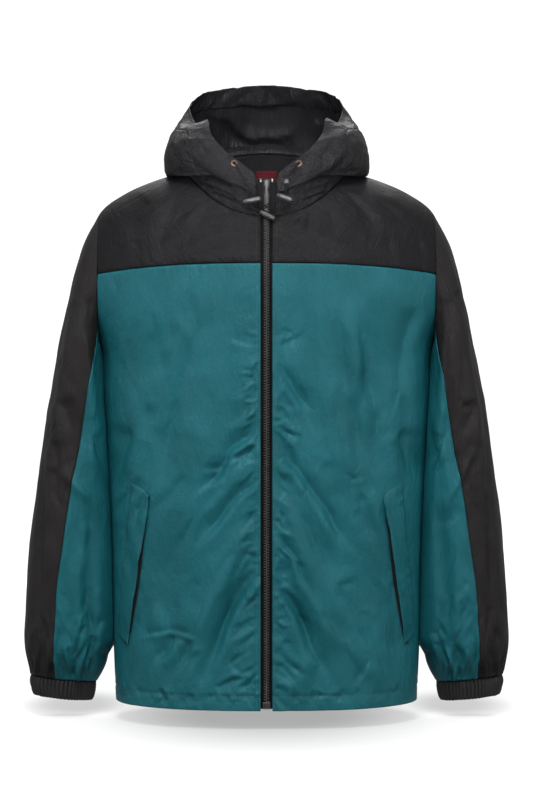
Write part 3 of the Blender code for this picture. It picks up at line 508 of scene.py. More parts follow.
def grainMaterial(name, colour, roughness, metallic=0.0, grain=900.0, specular=0.5):
    # moulded plastic, painted or plated metal: fine grain and slight wear of tone
    depth, spread = 0.00004, 0.12
    mat, tree, shader = newMaterial(name, colour, roughness, metallic, specular)
    place = addNode(tree, "TexCoord").outputs["Object"]
    low = linear([c * (1 - spread) for c in colour])
    high = linear([min(c * (1 + spread) + 3, 255) for c in colour])
    tone = colourRamp(tree, noiseNode(tree, place, 140.0, 4.0), ((0.35, low), (0.65, high)))
    tree.links.new(tone, shader.inputs["Base Color"])
    tree.links.new(bumpNode(tree, noiseNode(tree, place, grain, 2.0), 0.3, depth), shader.inputs["Normal"])
    return mat


materials = {
    "teal": clothMaterial("teal_nylon", (19, 83, 91), (23, 90, 99), (27, 97, 106), 0.44),
    "black": clothMaterial("black_nylon", (20, 19, 21), (24, 23, 25), (28, 27, 29), 0.5, specular=0.12),
    "hood": clothMaterial("black_hood_nylon", (19, 18, 20), (23, 22, 24), (28, 27, 29), 0.46,
                          crinkle=2.3, specular=0.14),
    # the same black nylon painted lighter for the sleeve tops, as painted light
    "sleeve": clothMaterial("black_nylon_painted_lighter", (31, 29, 30), (35, 33, 34), (40, 38, 39), 0.5,
                            specular=0.14),
    "cuff": clothMaterial("black_elastic", (32, 31, 33), (37, 36, 38), (43, 42, 44), 0.55,
                          weavePeriod=1.1, crinkle=0.5, sheen=0.05),
    "tape": clothMaterial("zip_tape", (13, 13, 14), (16, 16, 17), (20, 20, 21), 0.8,
                          weavePeriod=0.9, crinkle=0.1, specular=0.1),
    "label": clothMaterial("label_tape", (58, 8, 14), (70, 11, 18), (82, 16, 24), 0.7,
                           weavePeriod=0.5, crinkle=0.2),
    "tealThread": grainMaterial("teal_thread", (30, 88, 96), 0.6),
    "blackThread": grainMaterial("black_cloth", (30, 30, 32), 0.6),
    "plastic": grainMaterial("zip_plastic", (40, 38, 37), 0.34),
    "pull": grainMaterial("pull_plastic", (22, 21, 21), 0.42, specular=0.28),
    "bead": grainMaterial("bead_plastic", (84, 83, 82), 0.5, specular=0.25),
    "toggle": grainMaterial("toggle_plastic", (62, 62, 64), 0.38),
    "stop": grainMaterial("bright_metal", (98, 97, 95), 0.45, 1.0),
    "metal": grainMaterial("copper_metal", (122, 98, 88), 0.4, 1.0),
    "cord": grainMaterial("cord_fibre", (10, 10, 11), 0.8, grain=1500.0, specular=0.2),
    # near black for sheets of painted shade in openings
    "dark": grainMaterial("painted_shade_dark", (7, 8, 9), 0.9),
}
print("materials done")


seamGap = 0.3
halfGap = seamGap / 2
armholeX = 228.0
zipEdgeX = 8.0
halfDepth = 130.0
hemZ = -716.0
armpitRun = 486.0
yokeRun = 575.0
shoulderRun = 661.0
neckRun = 790.0
sleeveRun = 636.0
cuffRun = 26.0
sleeveClear = 0.2

torsoRows = table(
    "run sideX sideY sideZ frontY frontZ backY backZ square",
    (0, 207.0, 0, -716, -138, -716, 134, -716, 2.35),
    (78, 210.5, 0, -638, -139, -638, 135, -638, 2.35),
    (200, 213.0, 0, -516, -141, -516, 137, -516, 2.35),
    (326, 219.5, 0, -390, -142, -390, 138, -390, 2.4),
    (410, 225.0, 0, -306, -142, -306, 138, -306, 2.45),
    (armpitRun, armholeX, 0, -230, -141, -228, 138, -225, 2.5),
    (530, 246.0, 0, -186, -139, -178, 139, -176, 2.5),
    (yokeRun, 255.0, 0, -141, -135.5, -125.5, 138, -128, 2.5),
    (620, 249.0, -2, -96, -131.5, -109, 134, -96, 2.45),
    (shoulderRun, armholeX, -4, -49, -128, -95, 126, -56, 2.4),
    (700, 196.0, -6, -24.5, -124.5, -84, 113, -24, 2.35),
    (745, 152.0, -7, -5, -121, -73, 92, 11, 2.3),
    (neckRun, 112.0, -8, 6, -118.5, -63, 70, 40, 2.3),
)
sleeveRows = table(
    "run outerX outerZ innerX innerZ midY halfDepth square",
    (0, armholeX, -49, armholeX, -230, 0, 88, 2.0),
    (30, 246.5, -82, 227.0, -262, 0, 87, 2.1),
    (75, 262.5, -126, 223.0, -300, 0, 84, 2.2),
    (130, 275.3, -175, 217.0, -352, 0, 81, 2.3),
    (200, 288.5, -240, 212.0, -405, 1, 79, 2.3),
    (280, 301.0, -312, 209.0, -455, 3, 77, 2.3),
    (380, 315.0, -419, 206.5, -530, 5, 74, 2.3),
    (470, 326.0, -512, 205.0, -595, 6, 71, 2.3),
    (550, 332.5, -600, 205.5, -645, 7, 66, 2.3),
    (600, 333.5, -648, 216.0, -668, 7, 57, 2.2),
    (sleeveRun, 327.0, -684, 234.0, -694, 7, 34, 2.1),
)
cuffRows = table(
    "run outerX outerZ innerX innerZ midY halfDepth square",
    (0, 326.5, -684.4, 234.4, -694.4, 7, 33, 2.1),
    (5, 328.0, -690, 234.6, -699, 7, 34, 2.1),
    (18, 325.5, -704, 237.0, -712.5, 7, 34, 2.1),
    (cuffRun, 322.0, -711.5, 241.0, -719.5, 7, 32, 2.1),
)
seamRows = table(
    "run angle",
    (0, 140), (44, 129.5), (119, 104.5), (203, 94), (284, 89.5), (362, 83.5), (439, 79.5), (484, 76.5),
    (543, 76), (sleeveRun, 79),
)
hoodTurns = (0, 18, 38, 57, 73, 86, 102, 125, 152, 180)
hoodLines = [table("x y z", *rows) for rows in (
    ((8.0, -118.2, -54), (39.5, -114.5, -42), (73, -101, -23), (99, -74, -4), (111, -45, 6),
     (116, -21, 11), (114, 14, 15), (98, 46, 31), (61, 71, 51), (0, 79, 60)),
    ((8.0, -118.3, -45), (37, -114.5, -22), (70, -100, -6), (98, -76, 3), (114, -47, 10),
     (122, -22, 14), (121, 17, 18), (109, 62, 26), (67, 102, 16), (0, 119, -6)),
    ((8.2, -118.8, -36), (38, -121, -24), (75, -108, -9), (111, -80, -6), (134, -52, -2),
     (139, -24, 3), (138, 20, 4), (123, 92, -10), (74, 139, -60), (0, 154, -88)),
    ((8.5, -119.3, -28), (39, -124, -12), (76, -114, 7), (117, -86, 16), (137.5, -56, 20),
     (140.5, -24, 19), (140, 22, 20), (134, 98, 14), (90, 166, -16), (0, 187, -34)),
    ((9.5, -119.8, -18), (36, -122, -1), (70, -113, 20), (102, -90, 42), (112, -63, 58),
     (119, -32, 66), (123, 10, 75), (121, 74, 76), (90, 132, 68), (0, 164, 68)),
    ((13.5, -120, -8), (33, -118, 8), (58, -107, 28), (74.5, -88, 51), (81, -62, 74),
     (91.5, -38, 66), (105.5, 0, 91), (99, 40, 115.5), (69, 80, 133), (0, 100, 142)),
)]

# Main folds, as in the solids: lines seen from the front or, mirrored, from behind.
bodyFolds = (
    (1, -128, -170, -156, -440, 18, -6.5), (1, -96, -180, -100, -540, 22, 6.5),
    (1, -50, -190, -60, -430, 15, -5.0), (1, -16, -450, -104, -650, 12, 6.5),
    (1, -20, -505, -92, -695, 10, -5.5), (1, -124, -450, -130, -710, 16, -5.5),
    (1, -160, -560, -100, -700, 13, 4.5), (1, -18, -380, -84, -465, 10, 4.5),
    (1, 58, -165, 52, -410, 15, -5.0), (1, 98, -170, 106, -480, 21, 6.5),
    (1, 134, -185, 154, -440, 16, -6.5), (1, 12, -255, 74, -355, 10, -5.0),
    (1, 14, -435, 96, -650, 12, 6.5), (1, 16, -500, 76, -700, 10, -5.5),
    (1, 114, -470, 134, -710, 18, -6.0), (1, 88, -600, 28, -705, 12, 4.5),
    (1, -56, -97, -196, -68, 12, -5.0), (1, -36, -78, -124, -120, 10, 4.0),
    (1, 56, -97, 192, -74, 12, -5.0), (1, 40, -78, 132, -118, 10, 4.0),
    (-1, -124, -150, -144, -480, 20, -7.0), (-1, -72, -160, -88, -580, 22, 7.0),
    (-1, 2, -190, 16, -580, 18, -5.5), (-1, 76, -150, 92, -540, 22, 7.0),
    (-1, 132, -170, 154, -520, 18, -7.0), (-1, -166, -520, -56, -650, 15, 6.0),
    (-1, 156, -540, 52, -670, 15, 6.0), (-1, -64, -560, 74, -615, 16, -5.5),
    (-1, -176, -100, -86, -196, 13, 5.0), (-1, 178, -104, 82, -200, 13, 5.0),
)
sleeveFolds = (
    (1, 100, 60, 90, 340, 13, -6.0), (1, 62, 80, 52, 390, 16, 5.5), (1, 20, 20, 16, 270, 15, -4.5),
    (1, 118, 250, 106, 610, 13, -5.5), (1, 92, 380, 98, 610, 10, 4.5), (1, 38, 300, 62, 600, 12, -4.5),
    (1, -40, 60, -60, 340, 16, -6.0), (1, -96, 70, -88, 370, 15, 5.5), (1, -70, 330, -100, 610, 14, -5.0),
    (1, 0, 330, -20, 600, 15, 4.0), (1, 58, 302, 114, 334, 10, 4.5), (1, -50, 320, -118, 298, 11, 5.0),
    (-1, 98, 80, 92, 360, 13, -6.0), (-1, 66, 60, 50, 370, 16, 5.5), (-1, 24, 30, 12, 290, 15, -4.5),
    (-1, 114, 270, 110, 610, 13, -5.5), (-1, 96, 400, 100, 610, 10, 4.5), (-1, 34, 320, 58, 600, 12, -4.5),
    (-1, -44, 50, -56, 360, 16, -6.0), (-1, -92, 90, -90, 350, 15, 5.5), (-1, -74, 350, -96, 610, 14, -5.0),
    (-1, -4, 350, -16, 600, 15, 4.0), (-1, 64, 332, 118, 312, 10, 4.5), (-1, -54, 298, -114, 332, 11, 5.0),
)
mmPerDegree = 1.3


def torso(angle, run):
    # angle 0 at the left side, 90 degrees at the front
    angle, run = np.broadcast_arrays(np.asarray(angle, float), np.asarray(run, float))

    def at(column):
        return curveRead(torsoRows["run"], torsoRows[column], run)

    cosine, sine = np.cos(angle), np.sin(angle)
    power = 2 / at("square")
    front = sine >= 0
    sideY, sideZ = at("sideY"), at("sideZ")
    faceY = np.where(front, at("frontY"), at("backY"))
    faceZ = np.where(front, at("frontZ"), at("backZ"))
    return np.stack((
        np.sign(cosine) * at("sideX") * np.abs(cosine) ** power,
        sideY + (faceY - sideY) * np.abs(sine) ** power,
        sideZ + (faceZ - sideZ) * sine * sine), axis=-1)


def angleAtX(x, run):
    share = np.minimum(np.abs(x) / curveRead(torsoRows["run"], torsoRows["sideX"], run), 1.0)
    return np.arccos(share ** (curveRead(torsoRows["run"], torsoRows["square"], run) / 2))


def outerAngle(run):
    side = np.arcsin((halfGap / halfDepth) ** (curveRead(torsoRows["run"], torsoRows["square"], run) / 2))
    return np.where((run > armpitRun) & (run < shoulderRun), angleAtX(armholeX - halfGap, run), side)


def foldHeights(a, b, rows):
    # a bell across each line, fading out at both its ends
    total = np.zeros_like(a)
    for a1, b1, a2, b2, reach, height in rows:
        da, db = a2 - a1, b2 - b1
        length = math.hypot(da, db)
        along = np.clip(((a - a1) * da + (b - b1) * db) / length ** 2, 0, 1)
        off = ((a - a1) * db - (b - b1) * da) / length
        total += height * np.exp(-((off / reach) ** 2)) * np.sin(math.pi * along)
    return total


def smoothPath(route, spacing):
    route = np.array(route, float)
    along = runningLength(route)
    at = np.linspace(0, along[-1], max(int(along[-1] / spacing), 4) + 1)
    return np.stack([curveRead(along, route[:, axis], at) for axis in range(route.shape[1])], axis=-1)


def scatteredRows(seed, count, starts, turns, lengths, heights, widths):
    # small creases at uneven places: start box, direction in degrees, then ranges of length, height and width
    rng = np.random.RandomState(seed)
    rows = []
    for _ in range(count):
        x, z = rng.uniform(starts[0], starts[1]), rng.uniform(starts[2], starts[3])
        turn, bend = math.radians(rng.uniform(*turns)), rng.uniform(-0.35, 0.35)
        length, height, width = rng.uniform(*lengths), rng.uniform(*heights), rng.uniform(*widths)
        half = (x + length / 2 * math.cos(turn), z + length / 2 * math.sin(turn))
        last = (half[0] + length / 2 * math.cos(turn + bend), half[1] + length / 2 * math.sin(turn + bend))
        rows.append((-height, width, rng.choice((-1, 1)), (x, z), half, last))
    return tuple(rows)


def mirrored(rows):
    return tuple((height, width, -lean) + tuple((-x, z) for x, z in route)
                 for height, width, lean, *route in rows)


def onBothSides(seed, *kind):
    return scatteredRows(seed, *kind) + mirrored(scatteredRows(seed + 1, *kind))


def creaseHeights(a, b, rows, seed=0):
    # height width lean points: an uneven fold along a curve, with a lower one beside it on the lean's side
    total = np.zeros(a.shape)
    for k, (height, width, lean, *route) in enumerate(rows):
        line = smoothPath(route, 5.0)
        low, high = line.min(axis=0) - 4.5 * width, line.max(axis=0) + 4.5 * width
        near = (a > low[0]) & (a < high[0]) & (b > low[1]) & (b < high[1])
        if not near.any():
            continue
        place = np.stack((a[near], b[near]), axis=-1)[:, None, :] - line[None, :-1]
        step = np.diff(line, axis=0)
        size = np.linalg.norm(step, axis=1)
        share = np.clip((place * step).sum(axis=2) / size ** 2, 0, 1)
        off = place - share[..., None] * step
        away = np.linalg.norm(off, axis=2)
        best = away.argmin(axis=1)
        pick = np.arange(len(best))
        reach = runningLength(line)
        along = (reach[best] + share[pick, best] * size[best]) / reach[-1]
        turn = step[best, 0] * off[pick, best, 1] - step[best, 1] * off[pick, best, 0]
        signed = away[pick, best] * np.sign(turn)
        spread = width * (0.75 + 0.4 * along + 0.25 * wave(along * reach[-1], 24, seed + 40 + k))
        core = np.exp(-np.abs(signed / (spread * np.where(signed * lean > 0, 0.75, 2.3))) ** 1.5)
        beside = bell(signed - 2.0 * lean * spread, 1.4 * spread)
        uneven = 1 + 0.25 * wave(along * reach[-1], 30, seed + 90 + k)
        fade = ease(along / 0.18) * ease((1 - along) / 0.45) * uneven
        total[near] += height * (core - 0.45 * beside) * fade
    return total


def seamPuckers(along, off, seed, period, height):
    # short crosswise gathers on both sides of a seam
    fade = np.exp(-np.abs(off) / (1.1 * period))
    return height * fade * wave(along + 0.5 * off, period / 2, seed) * (1 - bell(off, 2.0))


def surfaceNormals(surface, angle, run, turn=0.012, step=0.6):
    # outward normals of a surface, read from its slopes both ways
    around = surface(angle + turn, run) - surface(angle - turn, run)
    along = surface(angle, run + step) - surface(angle, run - step)
    return unit(np.cross(around, along))


print("form done")


# creases seen from the front: height width lean and the points of the line
frontCreases = (
    (-3.6, 11, -1, (-91, -175), (-94, -214), (-106, -267), (-117, -306), (-132, -354), (-136, -399),
     (-132, -454)), (-2.2, 7, -1, (-163, -306), (-161, -346), (-163, -380), (-161, -412)),
    (-3.2, 12, 1, (-182, -339), (-190, -368), (-202, -406), (-206, -438)),
    (-3.6, 5, 1, (-13, -355), (-24, -356), (-36, -362), (-49, -372), (-56, -391), (-64, -404),
     (-84, -422), (-101, -439)), (-1.8, 2.6, 1, (-56, -395), (-68, -397), (-88, -397)),
    (-1.2, 3, -1, (-14, -371), (-24, -368), (-35, -364)),
    (-1.6, 3.6, -1, (-11, -331), (-22, -333), (-32, -337)),
    (-1.6, 3.4, 1, (-22, -310), (-26, -318), (-30, -325)),
    (-1.4, 3.6, 1, (-13, -234), (-24, -233), (-40, -226), (-53, -218)),
    (-3.0, 6, 1, (-16, -416), (-27, -424), (-41, -435), (-65, -466), (-88, -491), (-103, -517)),
    (-1.8, 3, 1, (-10, -450), (-19, -459), (-28, -472), (-35, -483)),
    (-2.2, 3.4, 1, (-14, -491), (-26, -508), (-36, -525), (-44, -546), (-48, -564)),
    (-4.4, 6, 1, (-10, -524), (-24, -546), (-43, -575), (-57, -605), (-69, -638), (-84, -672), (-93, -701)),
    (-1.4, 3, 1, (-45, -607), (-38, -604), (-28, -609)),
    (-1.6, 3, -1, (-32, -638), (-45, -657), (-38, -664), (-19, -663)),
    (-2.2, 3, -1, (-170, -622), (-148, -616), (-124, -612), (-103, -617), (-80, -620)),
    (-3.2, 6, 1, (-122, -617), (-130, -630), (-140, -643), (-156, -651)),
    (-2.8, 8, 1, (-98, -620), (-106, -638), (-117, -659), (-130, -680)),
    (-2.0, 3, 1, (-72, -675), (-65, -684), (-47, -676), (-30, -674), (-11, -675)),
    (-1.2, 3.2, 1, (-103, -693), (-97, -700), (-89, -709)),
    (-1.2, 3.2, 1, (-145, -691), (-138, -700), (-132, -708)),
    (-1.2, 3.4, -1, (-45, -691), (-40, -699), (-38, -709)),
    (-2.4, 14, 1, (-130, -504), (-153, -583), (-169, -636), (-174, -701)),
    (-1.6, 8, -1, (-153, -214), (-161, -256), (-167, -296)),
    (-1.6, 10, -1, (-48, -162), (-52, -214), (-61, -270)),
    (-1.4, 3, 1, (-167, -447), (-170, -454), (-176, -459)),
    (-1.6, 3.6, 1, (16, -234), (35, -227), (59, -213)),
    (-3.0, 4.4, -1, (11, -273), (26, -276), (39, -297), (60, -318), (73, -327)),
    (-1.3, 2.6, -1, (41, -287), (47, -297), (55, -309)), (-2.0, 5, -1, (18, -293), (31, -318), (45, -351)),
    (-2.0, 4, -1, (11, -318), (22, -333), (31, -362)),
    (-4.4, 6, -1, (10, -372), (23, -379), (40, -397), (60, -424), (80, -450), (94, -480), (102, -512)),
    (-3.6, 11, 1, (99, -175), (98, -212), (102, -255), (109, -299), (120, -343), (131, -388), (136, -438)),
    (-1.8, 7, 1, (131, -262), (136, -277), (142, -296), (147, -322)),
    (-3.0, 9, 1, (202, -180), (192, -210), (182, -250), (178, -280), (170, -322)),
    (-1.3, 3, 1, (177, -293), (172, -312), (169, -327)),
    (-3.2, 12, -1, (181, -343), (186, -368), (198, -396), (203, -428)),
    (-2.8, 7, -1, (45, -451), (63, -497), (77, -529), (88, -564)),
    (-3.4, 4.6, -1, (13, -480), (27, -500), (38, -514), (49, -541), (63, -567), (73, -596)),
    (-1.4, 2.8, -1, (16, -495), (23, -508)), (-1.4, 2.8, -1, (10, -512), (18, -517)),
    (-2.0, 3, -1, (10, -529), (20, -541), (26, -553)),
    (-4.6, 6, -1, (9, -551), (20, -562), (32, -576), (43, -591), (52, -611), (64, -641), (74, -658),
     (90, -680)), (-1.8, 6, 1, (91, -554), (110, -549), (131, -546)),
    (-2.0, 3, 1, (136, -654), (127, -672), (115, -686)),
    (-1.3, 3, 1, (126, -586), (131, -591), (136, -596)), (-1.3, 3, 1, (18, -628), (26, -626), (34, -622)),
    (-1.3, 3, -1, (35, -657), (40, -661), (47, -664)), (-1.2, 3, 1, (13, -657), (22, -655), (31, -654)),
    (-1.6, 3.4, -1, (102, -688), (98, -697), (97, -709)),
    (-1.2, 3.4, 1, (44, -691), (40, -700), (39, -709)),
    (-1.2, 3.4, -1, (144, -688), (148, -699), (151, -707)),
    (-2.6, 14, -1, (130, -517), (149, -583), (169, -636), (176, -701)),
    (-1.3, 4, 1, (102, -401), (113, -409), (126, -417)),
    (-1.3, 4, -1, (110, -412), (120, -410), (131, -404)),
    (-1.8, 6, -1, (165, -550), (169, -566), (167, -583)), (-1.6, 10, 1, (44, -162), (52, -214), (65, -262)),
)
yokeCreases = (
    (-2.2, 9, -1, (-120, -26), (-127, -48), (-137, -71), (-135, -103)),
    (-2.0, 7, 1, (-93, -48), (-117, -61), (-133, -77)), (-1.8, 8, -1, (-80, -49), (-85, -71), (-84, -98)),
    (-2.4, 9, 1, (-156, -37), (-167, -49), (-183, -61), (-196, -71)),
    (-1.6, 6, 1, (-176, -90), (-170, -106), (-166, -119)),
    (-1.8, 4, -1, (-59, -50), (-38, -63), (-22, -77), (-11, -90)),
    (-1.6, 4, -1, (-35, -49), (-22, -58), (-11, -69)),
    (-2.0, 8, -1, (-199, -95), (-204, -111), (-207, -127)),
    (-1.8, 8, 1, (110, -29), (129, -49), (142, -71), (155, -100)),
    (-2.2, 5, 1, (105, -29), (131, -50), (155, -77)),
    (-2.0, 8, 1, (147, -37), (166, -50), (182, -66), (197, -90)),
    (-1.8, 8, 1, (84, -49), (89, -71), (89, -98)), (-1.6, 6, -1, (60, -50), (55, -74), (44, -100)),
    (-1.8, 4, 1, (50, -58), (34, -71), (20, -87)), (-1.6, 4, 1, (31, -48), (20, -58), (13, -71)),
    (-2.0, 8, 1, (203, -90), (208, -108), (211, -127)), (-1.4, 6, 1, (160, -92), (166, -108), (166, -124)),
)
# creases of the back, also as x and z
backCreases = (
    (-3.4, 11, 1, (-120, -160), (-112, -230), (-118, -320), (-104, -400)),
    (-3.6, 11, -1, (118, -165), (108, -250), (116, -340), (100, -430)),
    (-3.0, 9, 1, (-40, -175), (-34, -240), (-46, -330), (-30, -420), (-36, -500)),
    (-3.0, 9, -1, (46, -170), (40, -260), (52, -350), (38, -450)),
    (-3.4, 12, 1, (-186, -330), (-196, -380), (-204, -430)),
    (-3.4, 12, -1, (186, -325), (197, -372), (203, -428)),
    (-3.6, 6, 1, (-192, -250), (-150, -285), (-118, -330), (-98, -390)),
    (-3.6, 6, -1, (192, -248), (152, -280), (122, -322), (96, -384)),
    (-2.4, 5, 1, (-196, -285), (-164, -318), (-140, -356)),
    (-2.4, 5, -1, (196, -290), (160, -326), (142, -352)),
    (-3.8, 7, 1, (-30, -505), (-58, -560), (-72, -620), (-96, -690)),
    (-3.8, 7, -1, (44, -500), (66, -565), (84, -625), (92, -695)),
    (-2.6, 6, 1, (10, -520), (-4, -580), (6, -640), (-6, -700)),
    (-2.2, 3.4, 1, (-60, -545), (-20, -552), (22, -546), (70, -556)),
    (-1.8, 3, -1, (-130, -600), (-100, -612), (-64, -606)),
    (-1.8, 3, 1, (60, -640), (98, -632), (138, -642)),
    (-2.4, 5, -1, (-150, -520), (-162, -580), (-150, -650)),
    (-2.4, 5, 1, (150, -530), (160, -590), (148, -655)), (-2.2, 8, 1, (-96, -18), (-110, -50), (-104, -92)),
    (-2.2, 8, -1, (98, -16), (112, -48), (106, -90)), (-2.0, 7, 1, (-50, 0), (-58, -40), (-50, -84)),
    (-2.0, 7, -1, (44, 2), (56, -42), (48, -80)), (-2.6, 6, -1, (-206, -90), (-176, -116), (-150, -150)),
    (-2.6, 6, 1, (206, -92), (178, -120), (150, -156)),
    (-1.4, 3.2, 1, (-72, -690), (-68, -698), (-62, -706)),
    (-1.4, 3.2, -1, (30, -690), (34, -698), (32, -706)),
    (-1.4, 3.2, 1, (110, -692), (106, -699), (108, -706)),
    (-1.2, 3.2, -1, (-124, -691), (-120, -699), (-122, -706)),
)
# small uneven ones: by the zip, long streaks down the cloth, and short ones at the hem
hemCrumples = (44, (-200, 200, -700, -688), (-120, -60), (8, 18), (0.6, 1.3), (2.2, 3.4))
smallFront = (
    onBothSides(101, 46, (8, 15, -700, -250), (-62, -24), (16, 62), (0.7, 2.0), (2.2, 4.0))
    + onBothSides(103, 26, (8, 14, -620, -200), (-16, 26), (9, 30), (0.6, 1.3), (2.0, 3.0))
    + scatteredRows(105, 26, (-200, 200, -420, -150), (-100, -80), (90, 220), (0.8, 1.9), (5.0, 10.0))
    + onBothSides(106, 22, (40, 190, -640, -380), (-75, -48), (50, 130), (0.8, 1.8), (4.0, 8.0))
    + scatteredRows(108, *hemCrumples))
smallYoke = scatteredRows(111, 34, (-215, 215, -92, -20), (-104, -76), (30, 80), (0.3, 0.7), (5.0, 9.0))
smallBack = (
    scatteredRows(121, 40, (-200, 200, -460, -140), (-102, -78), (80, 220), (0.8, 2.0), (5.0, 10.0))
    + scatteredRows(122, 30, (-190, 190, -640, -440), (-130, -50), (40, 120), (0.8, 2.0), (3.6, 7.0))
    + scatteredRows(123, 30, (-190, 190, -80, 10), (-104, -76), (30, 90), (0.3, 0.7), (5.0, 9.0))
    + scatteredRows(124, *hemCrumples))
looseness = {"rough": 0.6, "roughSize": (24.0, 60), "fine": 0.34, "fineSize": (8.0, 26), "large": 2.7,
             "main": 1.85, "minor": 1.15, "small": 1.35, "yoke": 0.8, "arm": 1.15}
bodySeams = {"hem": 19, "yokeDent": 1.4, "hemDent": 1.1, "dentWidth": 1.8, "zipStitch": 5, "yokeStitch": 2.2}


def deepened(rows):
    # the large folds made deeper, the small ones only a little
    return tuple((row[0] * looseness["main" if row[0] < -looseness["large"] else "minor"],) + row[1:]
                 for row in rows)


# where the folds of the body fade out, in mm from its side, neck, zip, yoke seam and edges
bodyFade = {"side": 26, "neck": 24, "zip": 12, "zipOver": 16, "yoke": 20, "yokeShare": 0.5, "creases": 12,
            "rough": 15, "zipPuckers": 3}
# the depth that the cloth keeps over the zip tape, falling off beside it
overTape = {"lowest": -1.3, "slope": 0.5, "reach": 13, "sharpness": 1.6}
# puckers along the seams: seed, spacing and height
bodyPuckers = {"yoke": (3, 9.0, 0.9), "hem": (4, 7.5, 1.1), "zip": (5, 11.0, 0.9)}


def bodyHeights(x, z, run, face):
    fade = bodyFade
    main = [row[1:] for row in bodyFolds if row[0] == face]
    fromSide = np.minimum(curveRead(torsoRows["run"], torsoRows["sideX"], run), armholeX) - np.abs(x)
    fromNeck = neckRun - run
    calm = ease(fromSide / fade["side"]) * ease(fromNeck / fade["neck"])
    beside = ease((np.abs(x) - fade["zip"]) / fade["zipOver"]) if face > 0 else 1
    total = foldHeights(x, z, main) * calm * beside
    onYoke = ease((run - yokeRun) / fade["yoke"])
    if face > 0:
        creases = creaseHeights(x, z, deepened(frontCreases), 7)
        creases = creases + looseness["small"] * creaseHeights(x, z, smallFront, 107)
        upper = looseness["yoke"] * creaseHeights(x, z, yokeCreases, 8) + creaseHeights(x, z, smallYoke, 108)
        creases = creases * (1 - onYoke) + upper * onYoke
        total *= 1 - fade["yokeShare"] * onYoke
    else:
        creases = creaseHeights(x, z, deepened(backCreases), 9) + creaseHeights(x, z, smallBack, 109)
    total += creases * ease(fromSide / fade["creases"]) * ease(fromNeck / fade["creases"])
    if face > 0:
        # the cloth stays above the zip tape
        lowest = overTape["lowest"] - overTape["slope"] * np.maximum(np.abs(x) - overTape["reach"], 0)
        total = lowest + np.logaddexp(0, overTape["sharpness"] * (total - lowest)) / overTape["sharpness"]
    rough = looseness["rough"] * ripple(x, z, *looseness["roughSize"], 5 * face + 11)
    rough = rough + looseness["fine"] * ripple(x + 0.3 * z, z, *looseness["fineSize"], 5 * face + 12)
    total += (rough * (1 - fade["yokeShare"] * onYoke)
              * ease(fromSide / fade["rough"]) * ease(fromNeck / fade["rough"]))
    total += seamPuckers(x, run - yokeRun, *bodyPuckers["yoke"])
    total -= bodySeams["yokeDent"] * bell(run - yokeRun, bodySeams["dentWidth"])
    total += seamPuckers(x, run - bodySeams["hem"], *bodyPuckers["hem"])
    total -= bodySeams["hemDent"] * bell(run - bodySeams["hem"], bodySeams["dentWidth"])
    if face > 0:
        fromZip = np.abs(x) - zipEdgeX
        total += seamPuckers(z, fromZip, *bodyPuckers["zip"]) * ease(fromZip / fade["zipPuckers"])
    return total


def panelSide(low, high, count):
    # runs and angles up the side seam and round the armhole, equally far apart
    t = np.linspace(0, 1, 300)
    if low < armpitRun < high:
        runs = np.concatenate((low + (armpitRun - low) * t, armpitRun + (high - armpitRun) * t[1:] ** 2))
    else:
        runs = np.concatenate((shoulderRun - (shoulderRun - low) * t[::-1] ** 2,
                               shoulderRun + (high - shoulderRun) * t[1:]))
    angles = outerAngle(runs)
    reach = runningLength(torso(angles, runs))
    even = np.linspace(0, reach[-1], count + 1)
    return np.interp(even, reach, runs), np.interp(even, reach, angles)


def bodySheet(face, side, low, high, cells):
    # side is 1 or -1 for a front, 0 for a whole back
    sideRuns, sideAngles = panelSide(low, high, cells[1])
    middleRuns = np.linspace(low, high, cells[1] + 1)
    share = np.linspace(0, 1, 4 * cells[0] + 1)[None, :]
    outward = share if face > 0 else np.abs(2 * share - 1)
    fineRuns = middleRuns[:, None] + (sideRuns - middleRuns)[:, None] * outward ** 2
    if face > 0:
        first, last = angleAtX(zipEdgeX, middleRuns), sideAngles
    else:
        first, last = -sideAngles, sideAngles - math.pi
    fineAngles = first[:, None] + (last - first)[:, None] * share
    reach = runningLength(torso(fineAngles, fineRuns).swapaxes(0, 1)).T
    even = np.linspace(0, reach[:, -1], cells[0] + 1, axis=1)
    angles, runs = (np.array([np.interp(*row) for row in zip(even, reach, fine)])
                    for fine in (fineAngles, fineRuns))
    points, normals = torso(angles, runs), -surfaceNormals(torso, angles, runs)
    if side < 0:
        points, normals, runs = points[:, ::-1] * mirrorX, normals[:, ::-1] * mirrorX, runs[:, ::-1]
    heights = bodyHeights(points[..., 0], points[..., 2], runs, face)
    moved = points + normals * heights[..., None]
    limit = armholeX - halfGap
    moved[..., 0] = np.clip(moved[..., 0], -limit, limit)
    return {"points": moved, "normals": normals, "uv": gridUv(points)}


surfaces = {}
teal, black = ("teal", 0, yokeRun - halfGap), ("black", yokeRun + halfGap, neckRun - halfGap)
hemmed = (("low", hemSteps(bodySeams["hem"])), ("high", seamEdge))
seamed = (("low", seamEdge), ("high", seamEdge))


def bodyPanel(name, kind, face, side, cells, edges, stitched):
    # a panel of the body with its stitches, its cloth and span given by its kind
    cloth, low, high = kind
    sheet = bodySheet(face, side, low, high, cells)
    surfaces[name] = sheet["points"]
    stitchRow("stitches_" + name, [besideEdge(sheet, edge, back) for edge, back in stitched], cloth)
    return sheetPiece("shell_" + name, sheet, materials[cloth], [name], edges)


